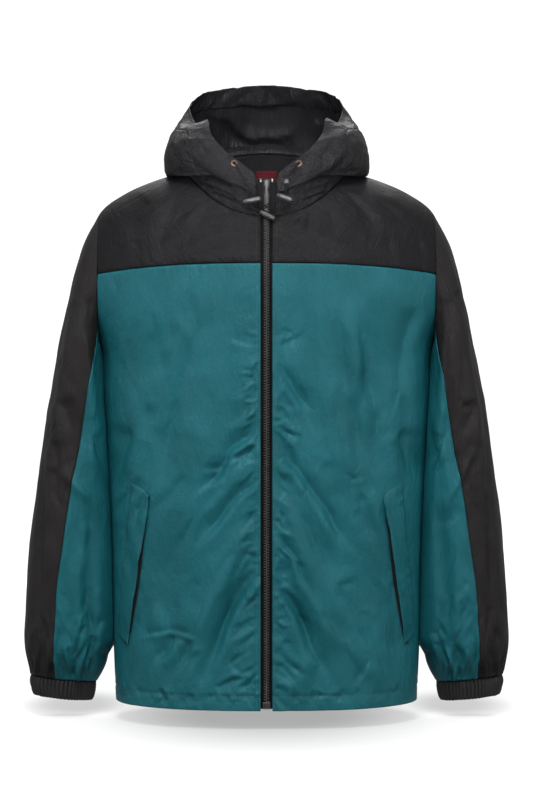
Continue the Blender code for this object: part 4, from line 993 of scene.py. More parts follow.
hemStitch, yokeStitch = ("low", bodySeams["hem"]), ("low", bodySeams["yokeStitch"])
for side, word in sides:
    zipEdge, outerEdge = ("first", "last") if side > 0 else ("last", "first")
    sewn = ((zipEdge, zipFold), (outerEdge, seamEdge))
    zipStitch = (zipEdge, bodySeams["zipStitch"])
    item = bodyPanel("front_" + word, teal, 1, side, (140, 260), sewn + hemmed, (hemStitch, zipStitch))
    item = bodyPanel("front_yoke_" + word, black, 1, side, (140, 90), sewn + seamed, (yokeStitch, zipStitch))
sewn = (("first", seamEdge), ("last", seamEdge))
item = bodyPanel("back", teal, -1, 0, (190, 190), sewn + hemmed, (hemStitch,))
item = bodyPanel("back_yoke", black, -1, 0, (190, 78), sewn + seamed, (yokeStitch,))
print("body done")


sleeveCells = {"top": (108, 240), "under": (136, 240)}
# the sleeve's unevenness. Starts and reaches along it are in mm, those round it in degrees
armShape = {"underArm": 150, "underArmOver": 30, "foldStart": 60, "foldEnd": 30, "facing": 6,
            "facingOver": 34, "seamCalm": 0.6, "seamWidth": 14, "fuller": 0.4, "rough": 1.2,
            "roughSize": (24, 60), "fineSize": (10, 24), "start": 18, "end": 7, "endShare": 0.35,
            "puckers": (9.0, 0.6)}
# gathers round the sleeve above the cuff, and how far its end swings in below the body's side
gather = {"run": 618.0, "reach": 30.0, "height": 1.3, "spacing": 8.0, "lean": 0.12, "fine": 0.4,
          "fineSpacing": 3.6, "under": 25, "underOver": 20}
swing = {"by": 8.0, "angle": 110, "angleOver": 50, "run": 580, "reach": 30}
# creases seen from the front, on both sleeves
armCreases = (
    (-3.0, 9, -1, (-240, -166), (-243, -196), (-237, -223), (-232, -242)),
    (-2.0, 6, 1, (-252, -172), (-255, -196), (-256, -218)),
    (-3.2, 6, -1, (-278, -304), (-270, -328), (-263, -349), (-255, -371)),
    (-2.0, 6, -1, (-287, -360), (-283, -384), (-278, -409)),
    (-2.4, 6, 1, (-232, -325), (-235, -349), (-246, -376), (-252, -398)),
    (-3.0, 7, -1, (-233, -349), (-228, -371), (-221, -390), (-216, -411)),
    (-1.8, 4, -1, (-254, -409), (-246, -422), (-237, -436)),
    (-2.4, 10, -1, (-262, -427), (-259, -481), (-267, -535), (-270, -576)),
    (-2.2, 8, 1, (-224, -441), (-225, -495), (-229, -549), (-237, -589)),
    (-2.2, 4, -1, (-277, -565), (-270, -584), (-263, -608)),
    (-3.0, 4, 1, (-219, -600), (-229, -619), (-237, -637), (-244, -654)),
    (-3.6, 4, 1, (-227, -629), (-235, -645), (-240, -662), (-243, -678)),
    (-2.6, 3.4, -1, (-285, -589), (-282, -616), (-282, -643)),
    (-2.8, 3.6, -1, (-270, -640), (-267, -656), (-263, -675)),
    (-2.4, 3.4, -1, (-279, -643), (-278, -659), (-274, -675)),
    (-2.2, 4, 1, (-246, -610), (-254, -629), (-256, -651), (-254, -672)),
    (-1.6, 5, 1, (-305, -629), (-302, -650), (-297, -670)),
    (-1.6, 5, -1, (-313, -616), (-316, -643), (-313, -667)),
    (-3.0, 9, 1, (246, -166), (247, -196), (242, -223), (236, -242)),
    (-2.0, 6, -1, (255, -158), (259, -180), (258, -201)),
    (-3.2, 6, 1, (279, -306), (274, -331), (266, -352), (259, -368)),
    (-2.0, 6, 1, (290, -360), (287, -384), (282, -409)),
    (-2.4, 6, -1, (237, -325), (240, -349), (247, -376), (250, -398)),
    (-3.0, 7, 1, (237, -349), (231, -371), (223, -390), (217, -411)),
    (-1.8, 4, 1, (260, -376), (252, -390), (247, -401)),
    (-2.4, 10, 1, (263, -427), (263, -481), (268, -535), (271, -576)),
    (-2.2, 8, -1, (228, -441), (229, -495), (233, -549), (242, -589)),
    (-2.2, 4, 1, (274, -549), (263, -565), (255, -581)),
    (-2.4, 4, 1, (277, -576), (268, -592), (258, -610)),
    (-3.0, 4, -1, (223, -619), (233, -632), (239, -651)),
    (-3.4, 4, -1, (228, -635), (236, -651), (242, -672)),
    (-2.6, 3.4, 1, (279, -589), (281, -616), (279, -645)),
    (-2.8, 3.6, 1, (266, -643), (267, -659), (268, -678)),
    (-2.4, 3.4, -1, (250, -637), (255, -656), (260, -675)),
    (-1.6, 5, -1, (306, -629), (303, -650), (301, -670)),
    (-1.6, 5, 1, (314, -616), (318, -643), (314, -667)),
)
# creases of the sleeves' backs, as seen from the front through them
armBackCreases = (
    (-3.2, 7, 1, (-246, -180), (-262, -240), (-268, -300)),
    (-3.4, 7, -1, (-270, -300), (-286, -350), (-300, -392)),
    (-2.6, 9, 1, (-228, -330), (-244, -410), (-250, -500)),
    (-2.8, 9, -1, (-290, -440), (-284, -520), (-294, -600)),
    (-3.0, 4, 1, (-262, -600), (-274, -630), (-284, -664)),
    (-3.2, 4, -1, (-296, -616), (-290, -640), (-292, -668)),
    (-2.4, 4, 1, (-312, -560), (-304, -590), (-296, -614)),
    (-3.0, 6, -1, (-252, -470), (-270, -486), (-296, -492)),
    (-3.2, 7, -1, (246, -176), (260, -236), (268, -306)),
    (-3.4, 7, 1, (272, -310), (284, -356), (302, -396)),
    (-2.6, 9, -1, (230, -334), (242, -414), (252, -504)),
    (-2.8, 9, 1, (290, -444), (286, -524), (292, -606)),
    (-3.0, 4, -1, (264, -604), (272, -632), (286, -666)),
    (-3.2, 4, 1, (298, -612), (292, -642), (290, -670)),
    (-2.4, 4, -1, (310, -556), (304, -588), (298, -610)),
    (-3.0, 6, 1, (250, -462), (272, -480), (298, -488)),
)
# small uneven ones of a sleeve: long streaks, gathers near the cuff, and short ones at the elbow
armCrumples = (
    (26, (214, 300, -560, -160), (-112, -68), (60, 180), (0.5, 1.3), (4.0, 8.0)),
    (24, (226, 310, -650, -560), (-120, -60), (24, 70), (0.8, 2.0), (2.4, 4.6)),
    (18, (240, 300, -480, -300), (-150, -30), (20, 60), (0.5, 1.2), (2.6, 5.0)),
)
leftSmall, rightSmall = (sum((scatteredRows(seed + k, *kind) for k, kind in enumerate(armCrumples)), ())
                         for seed in (131, 134))
smallArm = leftSmall + mirrored(rightSmall)
# gathers that start at the cuff
gatherCreases = (
    (-4.4, 2.6, 1, (-272, -694), (-277, -672), (-284, -654), (-282, -633), (-279, -608)),
    (-3.8, 2.4, -1, (-266, -692), (-270, -670), (-277, -647)),
    (-4.8, 3.0, 1, (-251, -696), (-246, -668), (-238, -652), (-232, -634)),
    (-4.6, 2.8, -1, (-264, -694), (-257, -666), (-246, -646), (-240, -630)),
    (-3.6, 2.4, 1, (-241, -696), (-236, -668), (-230, -655)),
    (-3.0, 2.6, -1, (-262, -662), (-256, -647), (-250, -626)),
    (-3.2, 2.4, 1, (-290, -692), (-291, -672), (-289, -655)),
    (-3.4, 2.6, -1, (-301, -690), (-300, -668), (-303, -646)),
    (-3.2, 2.4, 1, (-312, -690), (-311, -668), (-308, -642)),
    (-2.8, 2.4, -1, (-320, -690), (-319, -670), (-322, -652)),
    (-3.0, 2.2, -1, (-258, -694), (-260, -678), (-263, -668)),
    (-3.2, 2.2, 1, (-280, -692), (-282, -676), (-287, -662)),
    (-3.0, 2.2, -1, (-246, -696), (-243, -680), (-238, -668)),
    (-2.8, 2.2, 1, (-295, -691), (-296, -678), (-293, -666)),
)
fromCuff = gatherCreases + mirrored(gatherCreases)


def bodySideX(y, z):
    run = np.maximum(z - hemZ, 0.0)
    square = curveRead(torsoRows["run"], torsoRows["square"], run)
    depth = np.where(y < 0, curveRead(torsoRows["run"], torsoRows["frontY"], run),
                     curveRead(torsoRows["run"], torsoRows["backY"], run))
    share = np.minimum(np.abs(y / depth), 1.0)
    x = curveRead(torsoRows["run"], torsoRows["sideX"], run) * (1 - share ** square) ** (1 / square)
    return np.where(z >= torsoRows["sideZ"][5], armholeX, x)


def ovalShape(angle, square):
    cosine, sine = np.cos(angle), np.sin(angle)
    return (np.sign(cosine) * np.abs(cosine) ** (2 / square), np.sign(sine) * np.abs(sine) ** (2 / square))


def ringPoint(rows, first, second, run):
    def at(column):
        return curveRead(rows["run"], rows[column], run)

    x = (at("outerX") + at("innerX")) / 2 + (at("outerX") - at("innerX")) / 2 * first
    z = (at("outerZ") + at("innerZ")) / 2 + (at("outerZ") - at("innerZ")) / 2 * first
    return np.stack((x, at("midY") - at("halfDepth") * second, z), axis=-1)


# the sleeve's form leaves the armhole, keeps clear of the body and lies against it under the arm:
# angles in degrees, the rest in mm
armJoin = {"blend": 110, "clearFrom": 40, "under": 50, "underOver": 30, "from": 25, "to": 190, "toOver": 60,
           "most": 5}


def sleeve(angle, run):
    # angle 0 at the outer edge, 90 degrees at the front
    angle, run = np.broadcast_arrays(np.asarray(angle, float), np.asarray(run, float))
    first, second = ovalShape(angle, curveRead(sleeveRows["run"], sleeveRows["square"], run))
    level = (armpitRun + shoulderRun) / 2 + (shoulderRun - armpitRun) / 2 * np.cos(angle)
    onBody = torso(np.copysign(angleAtX(armholeX, level), np.sin(angle)), level)
    top, bottom = sleeveRows["outerZ"][0], sleeveRows["innerZ"][0]
    armFirst = (onBody[..., 2] - (top + bottom) / 2) / ((top - bottom) / 2)
    armSecond = -(onBody[..., 1] - sleeveRows["midY"][0]) / sleeveRows["halfDepth"][0]
    share = ease(run / armJoin["blend"])
    point = ringPoint(sleeveRows, armFirst * (1 - share) + first * share,
                      armSecond * (1 - share) + second * share, run)
    fromUnder = np.abs(np.degrees(angle) % 360 - 180)
    inner = (fromUnder < 90) & (point[..., 2] > hemZ)
    held = bodySideX(point[..., 1], point[..., 2]) + sleeveClear * ease(run / armJoin["clearFrom"])
    point[..., 0] = np.where(inner, np.maximum(point[..., 0], held), point[..., 0])
    close = (ease((armJoin["under"] - fromUnder) / armJoin["underOver"]) * ease(run / armJoin["from"])
             * ease((armJoin["to"] - run) / armJoin["toOver"]))
    point[..., 0] -= close * np.clip(point[..., 0] - held, 0, armJoin["most"])
    return point


def seamAngle(run):
    return np.radians(curveRead(seamRows["run"], seamRows["angle"], run))


def seamHalf(run):
    return halfGap / (curveRead(sleeveRows["run"], sleeveRows["halfDepth"], run) * 0.8)


def sleeveHeights(angle, run, side, x, z):
    degrees = (np.degrees(angle) + 180) % 360 - 180
    under = np.abs(np.degrees(angle) % 360 - 180)    # 0 under the arm
    a = degrees * mmPerDegree
    main = [(r[1] * mmPerDegree, r[2], r[3] * mmPerDegree) + r[4:] for r in sleeveFolds if r[0] == side]
    arm = armShape
    calm = ease((arm["underArm"] - np.abs(degrees)) / arm["underArmOver"])
    toEnd = sleeveRun - run
    total = foldHeights(a, run, main) * ease(run / arm["foldStart"]) * ease(toEnd / arm["foldEnd"])
    facing, away = (ease((turn - arm["facing"]) / arm["facingOver"]) for turn in (degrees, -degrees))
    creases = creaseHeights(x, z, armCreases, 3) + creaseHeights(x, z, smallArm, 4)
    behind = creaseHeights(x, z, armBackCreases, 5) + creaseHeights(x, z, smallArm, 6)
    offSeam = (np.abs(degrees) - np.degrees(seamAngle(run))) * mmPerDegree
    nearSeam = arm["seamCalm"] * bell(offSeam, arm["seamWidth"])
    creases, behind = (looseness["arm"] * part * (1 - nearSeam) for part in (creases, behind))
    fullness = bell(run - gather["run"], gather["reach"])
    total += (creases * facing + behind * away) * (1 + arm["fuller"] * fullness)
    total += creaseHeights(x - 2 * side, z, fromCuff, 20 + side) * facing
    total += creaseHeights(x + 3 * side, z, fromCuff, 24 + side) * away
    total += looseness["rough"] * arm["rough"] * ripple(a, run, *arm["roughSize"], 31 + side)
    total += looseness["fine"] * arm["rough"] * ripple(a + 0.3 * run, run, *arm["fineSize"], 35 + side)
    leaning = a + gather["lean"] * (run - gather["run"])
    gathers = (wave(leaning, gather["spacing"], 41 + side)
               + gather["fine"] * wave(a, gather["fineSpacing"], 44 + side))
    offUnder = ease((under - gather["under"]) / gather["underOver"])
    total += gather["height"] * fullness * gathers * offUnder / calm.clip(0.2)
    total *= ease(run / arm["start"]) * (arm["endShare"] + 0.65 * ease(toEnd / arm["end"]))
    total += seamPuckers(angle * 80, run, 46 + side, *arm["puckers"])
    # the end swings in below the body's side
    inwards = ease((np.abs(degrees) - swing["angle"]) / swing["angleOver"])
    return total * calm - swing["by"] * inwards * bell(run - swing["run"], swing["reach"])


def outwards(side, points, heights):
    # the wearer's left is built turned round, the right mirrored
    if side > 0:
        points, heights = points[:, ::-1], heights[:, ::-1]
    else:
        points = points * mirrorX
    return points, heights


def sleeveSheet(side, start, end, cells):
    runs = (sleeveRun - seamGap) * np.linspace(0, 1, cells[1] + 1) ** 0.93
    angles = evenAngles(sleeve, start(runs), end(runs), runs, cells[0])
    points = sleeve(angles, runs[:, None])
    runs = np.broadcast_to(runs[:, None], angles.shape)
    heights = sleeveHeights(angles, runs, side, points[..., 0] * side, points[..., 2])
    column = np.arange(cells[0] + 1)
    heights -= 0.9 * bell(np.minimum(column, cells[0] - column) * 2.2, 1.6)
    points, heights = outwards(side, points[::-1], heights[::-1])
    sheet = asSheet(points)
    sheet["points"] = points + sheet["normals"] * heights[..., None]
    sheet["points"][-1, :, 0] = side * (armholeX + halfGap)
    return sheet


edges = (("first", seamEdge), ("last", seamEdge), ("low", seamEdge))
for side, word in sides:
    top = sleeveSheet(side, lambda run: -seamAngle(run) + seamHalf(run),
                      lambda run: seamAngle(run) - seamHalf(run), sleeveCells["top"])
    under = sleeveSheet(side, lambda run: seamAngle(run) + seamHalf(run),
                        lambda run: 2 * math.pi - seamAngle(run) - seamHalf(run), sleeveCells["under"])
    # the sleeve tops take the black nylon painted lighter, as painted light
    item = sheetPiece("shell_sleeve_top_" + word, top, materials["sleeve"],
                      ["sleeve_top_" + word], edges)
    item = sheetPiece("shell_sleeve_under_" + word, under, materials["teal"],
                      ["sleeve_under_" + word], edges)
print("sleeves done")

cuffSizes = {
    "around": 600, "rows": 14, "gathers": 54, "ridge": 2.9, "sunk": 2.2, "swell": 1.4, "swellRun": 15,
    "swellOver": 9, "warp": 2.2, "wobble": 12, "lean": 0.07, "leanFrom": 13, "narrow": 5,
    "unevenSpacing": 9.0,
    # uneven spacing of the gathers: waves round the cuff, height, turn, and turn added by side
    "warps": ((3, 0.5, 0.1, 0.2), (5, 0.35, 0.6, 0), (8, 0.25, 0.3, 0), (13, 0.12, 0.8, 0)),
}


def cuff(angle, run):
    first, second = ovalShape(angle, curveRead(cuffRows["run"], cuffRows["square"], run))
    return ringPoint(cuffRows, first, second, run)


def cuffHeights(turn, runs, side):
    # upright ridges round the cuff, uneven in place, lean and height
    c = cuffSizes
    warp = sum(a * np.sin(2 * math.pi * (k * turn + (p + shift * side))) for k, a, p, shift in c["warps"])
    phase = c["gathers"] * turn * 2 * math.pi + warp * c["warp"] + 0.5 * wave(runs, c["wobble"], 51)
    phase = phase + c["lean"] * (runs - c["leanFrom"]) * np.sin(2 * math.pi * (turn + 0.1))
    ridge = 1 - (0.5 + 0.5 * np.cos(phase)) ** c["narrow"]
    tall = 0.7 + 0.3 * wave(turn * 250, c["unevenSpacing"], 57 + side)
    across = 0.75 + 0.25 * np.sin(math.pi * runs / cuffRun)
    swell = c["swell"] * ease((runs - c["swellRun"]) / c["swellOver"])
    return c["ridge"] * ridge * tall * across - c["sunk"] + swell


cuffEdges = (("low", ((-0.3, 0.4), (-0.3, 1.0), (0.4, 1.5), (6, 1.6), (14, 1.6), (23, 1.6))),
             ("high", ((0.0, 0.6), (0.3, 1.6))))
for side, word in sides:
    runs = np.linspace(seamGap, cuffRun, cuffSizes["rows"] + 1)[::-1, None]
    angles = np.linspace(0, 2 * math.pi, cuffSizes["around"], endpoint=False)[None, :]
    points, heights = outwards(side, cuff(angles, runs), cuffHeights(angles / (2 * math.pi), runs, side))
    sheet = asSheet(points, closed=True)
    sheet["points"] = points + sheet["normals"] * heights[..., None]
    item = sheetPiece("shell_cuff_" + word, sheet, materials["cuff"], ["cuff_" + word],
                      cuffEdges, closed=True)
print("cuffs done")


hoodCells = (110, 116)
hoodSeams = {"casing": 33, "casingDent": 0.8, "casingWidth": 1.4, "neckDent": 0.8, "neckWidth": 1.6,
             "rimStitch": 3, "frontStitch": 5, "puckers": (63, 9.0, 0.7)}
# the hood's unevenness. Turns count two to a degree, and layers go up from 0 at the neck seam
backTurn = 360
hoodShape = {
    "fade": 12, "front": 150, "frontOver": 30, "backOver": 40,
    "layers": ((1, 2.9, 0.4), (-1, 2.0, 0.4), (1, 4.5, 0.3)),       # way, start and width
    "neckGathers": (1.6, 9, 14),                                    # height, spacing and reach
    "shallow": (0.5, -44, 22),                                      # share, start and width
    "uneven": ((1.1, (34, 20), 61), (0.6, (15, 10), 62)),           # height, size and seed
}
# creases of the hood's upper layer and of its lower layer: height width lean and the points as x and z
hoodUpperCreases = (
    (-3.0, 7, 1, (-112, 30), (-100, 12), (-84, -2), (-66, -10)),
    (-2.6, 6, -1, (-122, 4), (-104, -8), (-84, -12)),
    (-2.2, 5, 1, (-92, 44), (-84, 26), (-70, 12), (-58, 2)),
    (-2.0, 4, -1, (-50, -10), (-40, -18), (-28, -22)), (-2.2, 4, 1, (-36, -2), (-26, -14), (-18, -26)),
    (-2.4, 6, 1, (-128, 40), (-122, 20), (-120, 4)),
    (-3.0, 7, -1, (112, 32), (102, 12), (86, -4), (68, -10)), (-2.6, 6, 1, (124, 4), (106, -6), (84, -12)),
    (-2.2, 5, -1, (90, 46), (80, 26), (68, 10), (56, 2)), (-2.0, 4, 1, (52, -8), (40, -18), (28, -24)),
    (-2.2, 4, -1, (38, 0), (27, -12), (18, -24)), (-2.4, 6, -1, (128, 42), (123, 22), (121, 4)),
)
hoodLowerCreases = (
    (-2.6, 3.4, 1, (-96, -16), (-72, -24), (-48, -34), (-28, -42)),
    (-2.4, 3.0, 1, (-80, -30), (-56, -38), (-34, -46)), (-2.0, 2.8, -1, (-48, -26), (-34, -34), (-20, -38)),
    (-2.6, 3.4, -1, (96, -14), (72, -22), (48, -32), (28, -42)),
    (-2.4, 3.0, -1, (84, -28), (58, -38), (34, -46)), (-2.0, 2.8, 1, (50, -24), (36, -32), (20, -36)),
)
# the inside folds: height width lean, then turn and distance from the rim
hoodInnerCreases = (
    (-3, 4, 1, (300, 6), (296, 18), (302, 32)), (-3, 4, -1, (330, 4), (334, 16), (330, 30)),
    (-3, 4, 1, (366, 5), (362, 18), (368, 31)), (-3, 4, -1, (398, 5), (404, 18), (398, 32)),
    (-3, 4, 1, (426, 4), (420, 18), (428, 32)), (-3, 4, -1, (276, 4), (270, 18), (276, 32)),
)
# the sagging folds of the back, seen through the opening, as x and z
hoodSagCreases = (
    (-10, 9, -1, (-96, 112), (-84, 104), (-53, 96), (-30, 77), (-6, 79), (22, 76), (45, 89), (63, 101),
     (84, 106)), (-4, 5, -1, (-50, 119), (-30, 120), (0, 117), (30, 122), (56, 118)),
    (-4, 4, 1, (-12, 80), (-15, 70), (-18, 58), (-14, 50)), (-3, 4, -1, (30, 84), (38, 72), (36, 60)),
    (-4, 5, 1, (-70, 96), (-62, 84), (-60, 70)), (-4, 5, -1, (74, 98), (66, 86), (62, 70)),
    (-3, 4, -1, (-54, 62), (-34, 58), (-14, 60)), (-3, 5, 1, (-44, 140), (-36, 132), (-38, 124)),
    (-2.6, 4, -1, (20, 141), (14, 133), (18, 125)), (-2.6, 4, 1, (62, 138), (52, 128), (54, 120)),
)
# folds at the neck seam, as turn and distance from it
hoodNeckCreases = (
    (-2.0, 4, 1, (344, 4), (350, 14), (356, 26)), (-1.6, 4, -1, (316, 4), (320, 14), (318, 26)),
    (-1.6, 5, 1, (392, 4), (388, 14), (394, 26)), (-1.8, 4, 1, (284, 4), (290, 14), (286, 26)),
    (-1.8, 4, -1, (430, 4), (426, 14), (432, 26)),
)
# folds of the hood's back, as turn and distance from the rim
hoodBackCreases = (
    (-4, 10, 1, (250, 200), (300, 216), (360, 206), (420, 218), (470, 202)),
    (-4, 9, -1, (270, 240), (330, 256), (390, 246), (450, 258)),
    (-3, 8, 1, (300, 130), (306, 170), (296, 210)), (-3, 8, -1, (420, 132), (414, 172), (426, 214)),
    (-3, 8, 1, (358, 120), (364, 164), (356, 200)),
)


def hoodLine(line, turn):
    turns = hoodTurns + (2 * hoodTurns[-1] - hoodTurns[-2],)
    mirror = {"x": -1, "y": 1, "z": 1}
    return np.stack([curveRead(turns, np.append(line[axis], mirror[axis] * line[axis][-2]), turn)
                     for axis in ("x", "y", "z")], axis=-1)


def hoodHalf(turns, share):
    # share runs from 0 at the neck seam to 1 at the rim
    angle = np.minimum(np.radians(90 - turns), angleAtX(zipEdgeX, neckRun))
    lines = [torso(angle, neckRun)] + [hoodLine(line, turns) for line in hoodLines]
    points = np.empty((len(share), len(turns), 3))
    reach, layer = np.empty((2, len(share), len(turns)))
    for c in range(len(turns)):
        knots = np.array([line[c] for line in lines])
        step = np.maximum(np.linalg.norm(np.diff(knots, axis=0), axis=1), 1.0)
        along = np.concatenate(([0], np.cumsum(step)))
        reach[:, c] = share * along[-1]
        layer[:, c] = np.interp(reach[:, c], along, np.arange(len(knots)))
        for axis in range(3):
            points[:, c, axis] = curveRead(along, knots[:, axis], reach[:, c])
    return points, reach, layer


def hoodHeights(a, b, length, x, z, layer):
    # a is round the neck, 360 at the back; b is along the cloth from the neck seam
    fromRim = length - b
    fromCasing = fromRim - hoodSeams["casing"]
    fade = ease(b / hoodShape["fade"])
    fromBack = np.abs(a - backTurn)
    onFront = ease((fromBack - hoodShape["front"]) / hoodShape["frontOver"])
    upper, lower, inside = (ease(s * (layer - start) / over) for s, start, over in hoodShape["layers"])
    total = creaseHeights(x, z, hoodUpperCreases, 11) * upper * onFront
    total += creaseHeights(x, z, hoodLowerCreases, 12) * lower * onFront * fade
    inner = creaseHeights(a, fromRim, hoodInnerCreases, 13)
    total += inner + creaseHeights(a, fromRim, hoodBackCreases, 14) * fade
    height, spacing, reach = hoodShape["neckGathers"]
    gathers = height * wave(a, spacing, 64) * np.exp(-b / reach)
    total += creaseHeights(a, b, hoodNeckCreases, 15) + gathers * fade
    atBack = ease((hoodShape["front"] - fromBack) / hoodShape["backOver"])
    # the long sagging fold starts shallow
    share, start, over = hoodShape["shallow"]
    soft = 1 - share * ease((start - x) / over)
    total += creaseHeights(x, z, hoodSagCreases, 16) * inside * atBack * soft
    rough, fine = (height * ripple(a, b, *size, seed) for height, size, seed in hoodShape["uneven"])
    total += rough * fade + fine * fade
    total -= hoodSeams["casingDent"] * bell(fromCasing, hoodSeams["casingWidth"])
    total += seamPuckers(a, fromCasing, *hoodSeams["puckers"])
    total -= hoodSeams["neckDent"] * bell(b, hoodSeams["neckWidth"])
    return total


halfTurns = np.linspace(90 - math.degrees(angleAtX(zipEdgeX, neckRun)), 180, hoodCells[0] + 1)
half, reach, layer = hoodHalf(halfTurns, np.linspace(0, 1, hoodCells[1] + 1))
half[:, -1, 0] = 0
points = np.concatenate((half, half[:, -2::-1] * mirrorX), axis=1)
reach, layer = (np.concatenate((part, part[:, -2::-1]), axis=1) for part in (reach, layer))
around = np.concatenate((halfTurns, 360 - halfTurns[-2::-1]))
a = np.broadcast_to((around * 2)[None, :], reach.shape)
# the back of the neck stand sags
sag = bell(reach - 22, 12) * ease((130 - np.abs(a - backTurn)) / 50)
points = points - np.stack((0 * sag, 5 * sag, 11 * sag), axis=-1)
sheet = asSheet(points)
heights = hoodHeights(a, reach, reach[-1][None, :], points[..., 0], points[..., 2], layer)
sheet["points"] = points + sheet["normals"] * heights[..., None]
stitched = (("high", hoodSeams["rimStitch"]), ("high", hoodSeams["casing"]),
            ("first", hoodSeams["frontStitch"]), ("last", hoodSeams["frontStitch"]))
stitchRow("stitches_hood", [besideEdge(sheet, edge, back) for edge, back in stitched], "black")
edges = (("first", zipFold), ("last", zipFold), ("high", hemSteps(hoodSeams["casing"], 1.3, 10)),
         ("low", seamEdge))
item = sheetPiece("shell_hood", sheet, materials["hood"], ["hood_left", "hood_right"], edges)
print("hood done")


def surfaceTree(name):
    grid = surfaces[name]
    faces = gridFaces(*grid.shape[:2])
    return BVHTree.FromPolygons([tuple(p) for p in grid.reshape(-1, 3)], [tuple(f) for f in faces.tolist()])


frontDepths = {"clear": -400.0, "cloth": -130.0}   # y well in front of the garment, and about at its front


def onFront(tree, x, z, lift):
    # point on the cloth straight behind a place seen from the front, moved out by lift
    hit, normal, _, _ = tree.ray_cast(Vector((x, frontDepths["clear"], z)), Vector((0, 1, 0)))
    if hit is None:
        hit, normal, _, _ = tree.find_nearest(Vector((x, frontDepths["cloth"], z)))
    if normal.y > 0:
        normal = -normal
    return np.array(hit) + np.array(normal) * lift


def laidOnFront(tree, side, x, z, lift):
    # a sheet of places seen from the front, laid on the cloth of that side
    x, z, lift = np.broadcast_arrays(x, z, lift)
    points = np.array([[onFront(tree, side * x[i, j], z[i, j], lift[i, j]) for j in range(x.shape[1])]
                       for i in range(x.shape[0])])[::-1]
    return asSheet(points if side > 0 else points[:, ::-1])


# Slanted welts over the pocket openings, sewn down at the back edge and open at the front edge
welt = {"topX": 181.0, "topZ": -417.0, "frontX": 153.0, "frontZ": -430.0, "length": 205.0, "width": 32,
        "slantFront": 32.0, "slantBack": 20.0, "corner": 7, "rounding": 2.4, "lift": 2.1, "gape": 3.4,
        "pucker": 1.3, "puckerSpacing": 7.0, "puckerReach": 8, "sag": 1.2, "sagSpacing": 30.0, "sagLean": 26,
        "sewnDown": 1.2, "cellsAcross": 20, "cellsAlong": 96}
slit = {"start": 0.16, "end": 1.0, "bare": 2.6, "hidden": 6.0, "lift": 0.7, "columns": 6, "rows": 60}


def weltSheet(side, tree):
    w = welt
    slope = (w["topZ"] - w["frontZ"]) / (w["topX"] - w["frontX"])
    share = np.linspace(0, 1, w["cellsAlong"] + 1)[:, None]
    part = np.linspace(0, 1, w["cellsAcross"] + 1)[None, :]
    along = share * w["length"]
    fromSeam = (1 - part) * w["width"]
    x = w["frontX"] + (w["topX"] - w["frontX"]) * part + 0 * share
    z = w["frontZ"] + slope * (x - w["frontX"])
    # rounded upper front corner
    near = bell(along, w["corner"]) * bell(x - w["frontX"], w["corner"])
    x = x + (w["slantFront"] + (w["slantBack"] - w["slantFront"]) * part) * share + w["rounding"] * near
    z = z - along - w["rounding"] * near
    gape = w["gape"] * (1 - part) ** 1.5 * np.sin(math.pi * np.minimum(share * 1.06, 1)) ** 0.7
    nearSeam = np.exp(-(fromSeam / w["puckerReach"]))
    pucker = w["pucker"] * wave(along, w["puckerSpacing"], 71 + side) * nearSeam
    sag = w["sag"] * wave(along + w["sagLean"] * part, w["sagSpacing"], 73 + side) * (1 - part)
    sewnDown = w["sewnDown"]
    lift = w["lift"] + gape + pucker + sag - sewnDown * bell(fromSeam, 3.0) - sewnDown * bell(along, 2.5)
    return laidOnFront(tree, side, x, z, lift)


def slitShadeSheet(side, tree):
    # a dark sheet of painted shade for the shadowed inside of the opening, showing along the free edge
    w = welt
    share = np.linspace(slit["start"], slit["end"], slit["rows"])[:, None]
    part = np.linspace(0, 1, slit["columns"])[None, :]
    down = ease((share - slit["start"]) / (slit["end"] - slit["start"]))
    bare = slit["bare"] * np.sin(math.pi * down ** 1.3) ** 0.8
    x = w["frontX"] + w["slantFront"] * share - bare + (bare + slit["hidden"]) * part
    return laidOnFront(tree, side, x, w["frontZ"] - w["length"] * share, slit["lift"])


underStep = ((0.0, 0.8), (0.1, 2.0))
for side, word in sides:
    tree = surfaceTree("front_" + word)
    # a dark sheet of painted shade in the pocket opening
    sheetPiece("pocket_slit_painted_shade_" + word, slitShadeSheet(side, tree), materials["dark"], [])
    sheet = weltSheet(side, tree)
    openEdge, sewnEdge = ("first", "last") if side > 0 else ("last", "first")
    lines = [besideEdge(sheet, edge, back) for edge, back in
             ((sewnEdge, 2), (sewnEdge, 7), ("high", 2), (openEdge, 2))]
    stitchRow("stitches_pocket_welt_" + word, lines, "teal")
    edges = ((openEdge, ((-0.4, 0.5), (0.0, 1.2), (8, 1.1))), (sewnEdge, underStep), ("high", underStep),
             ("low", underStep))
    item = sheetPiece("shell_pocket_welt_" + word, sheet, materials["teal"],
                      ["pocket_welt_" + word], edges)
print("welts done")

# The zip: tapes, moulded teeth, slider with a pin, pull tab, top stops and bottom box
zipSizes = {"bow": 350.0, "bottomZ": -713.5, "topZ": -12.5, "tapeWidth": 12.0, "under": -2.3, "pitch": 3.5,
            "toothReach": 3.6, "toothPast": 0.9, "boxHeight": 9.0, "sliderLow": -27.0, "rib": 1.7,
            "edgeX": 0.9}


def zipLine(z):
    heights = np.array([torsoRows["frontZ"][-1]] + [line["z"][0] for line in hoodLines])
    depths = np.array([torsoRows["frontY"][-1]] + [line["y"][0] for line in hoodLines])
    return np.where(z > torsoRows["frontZ"][-1], curveRead(heights, depths, z),
                    curveRead(torsoRows["frontZ"], torsoRows["frontY"], z))


def zipPoint(x, z, out):
    x, z, out = np.broadcast_arrays(*(np.asarray(a, float) for a in (x, z, out)))
    slope = (zipLine(z + 1) - zipLine(z - 1)) / 2
    outward = unit(np.stack((np.zeros_like(z), -np.ones_like(z), slope), axis=-1))
    base = np.stack((x, zipLine(z) + x * x / (2 * zipSizes["bow"]), z), axis=-1)
    return base + outward * out[..., None]


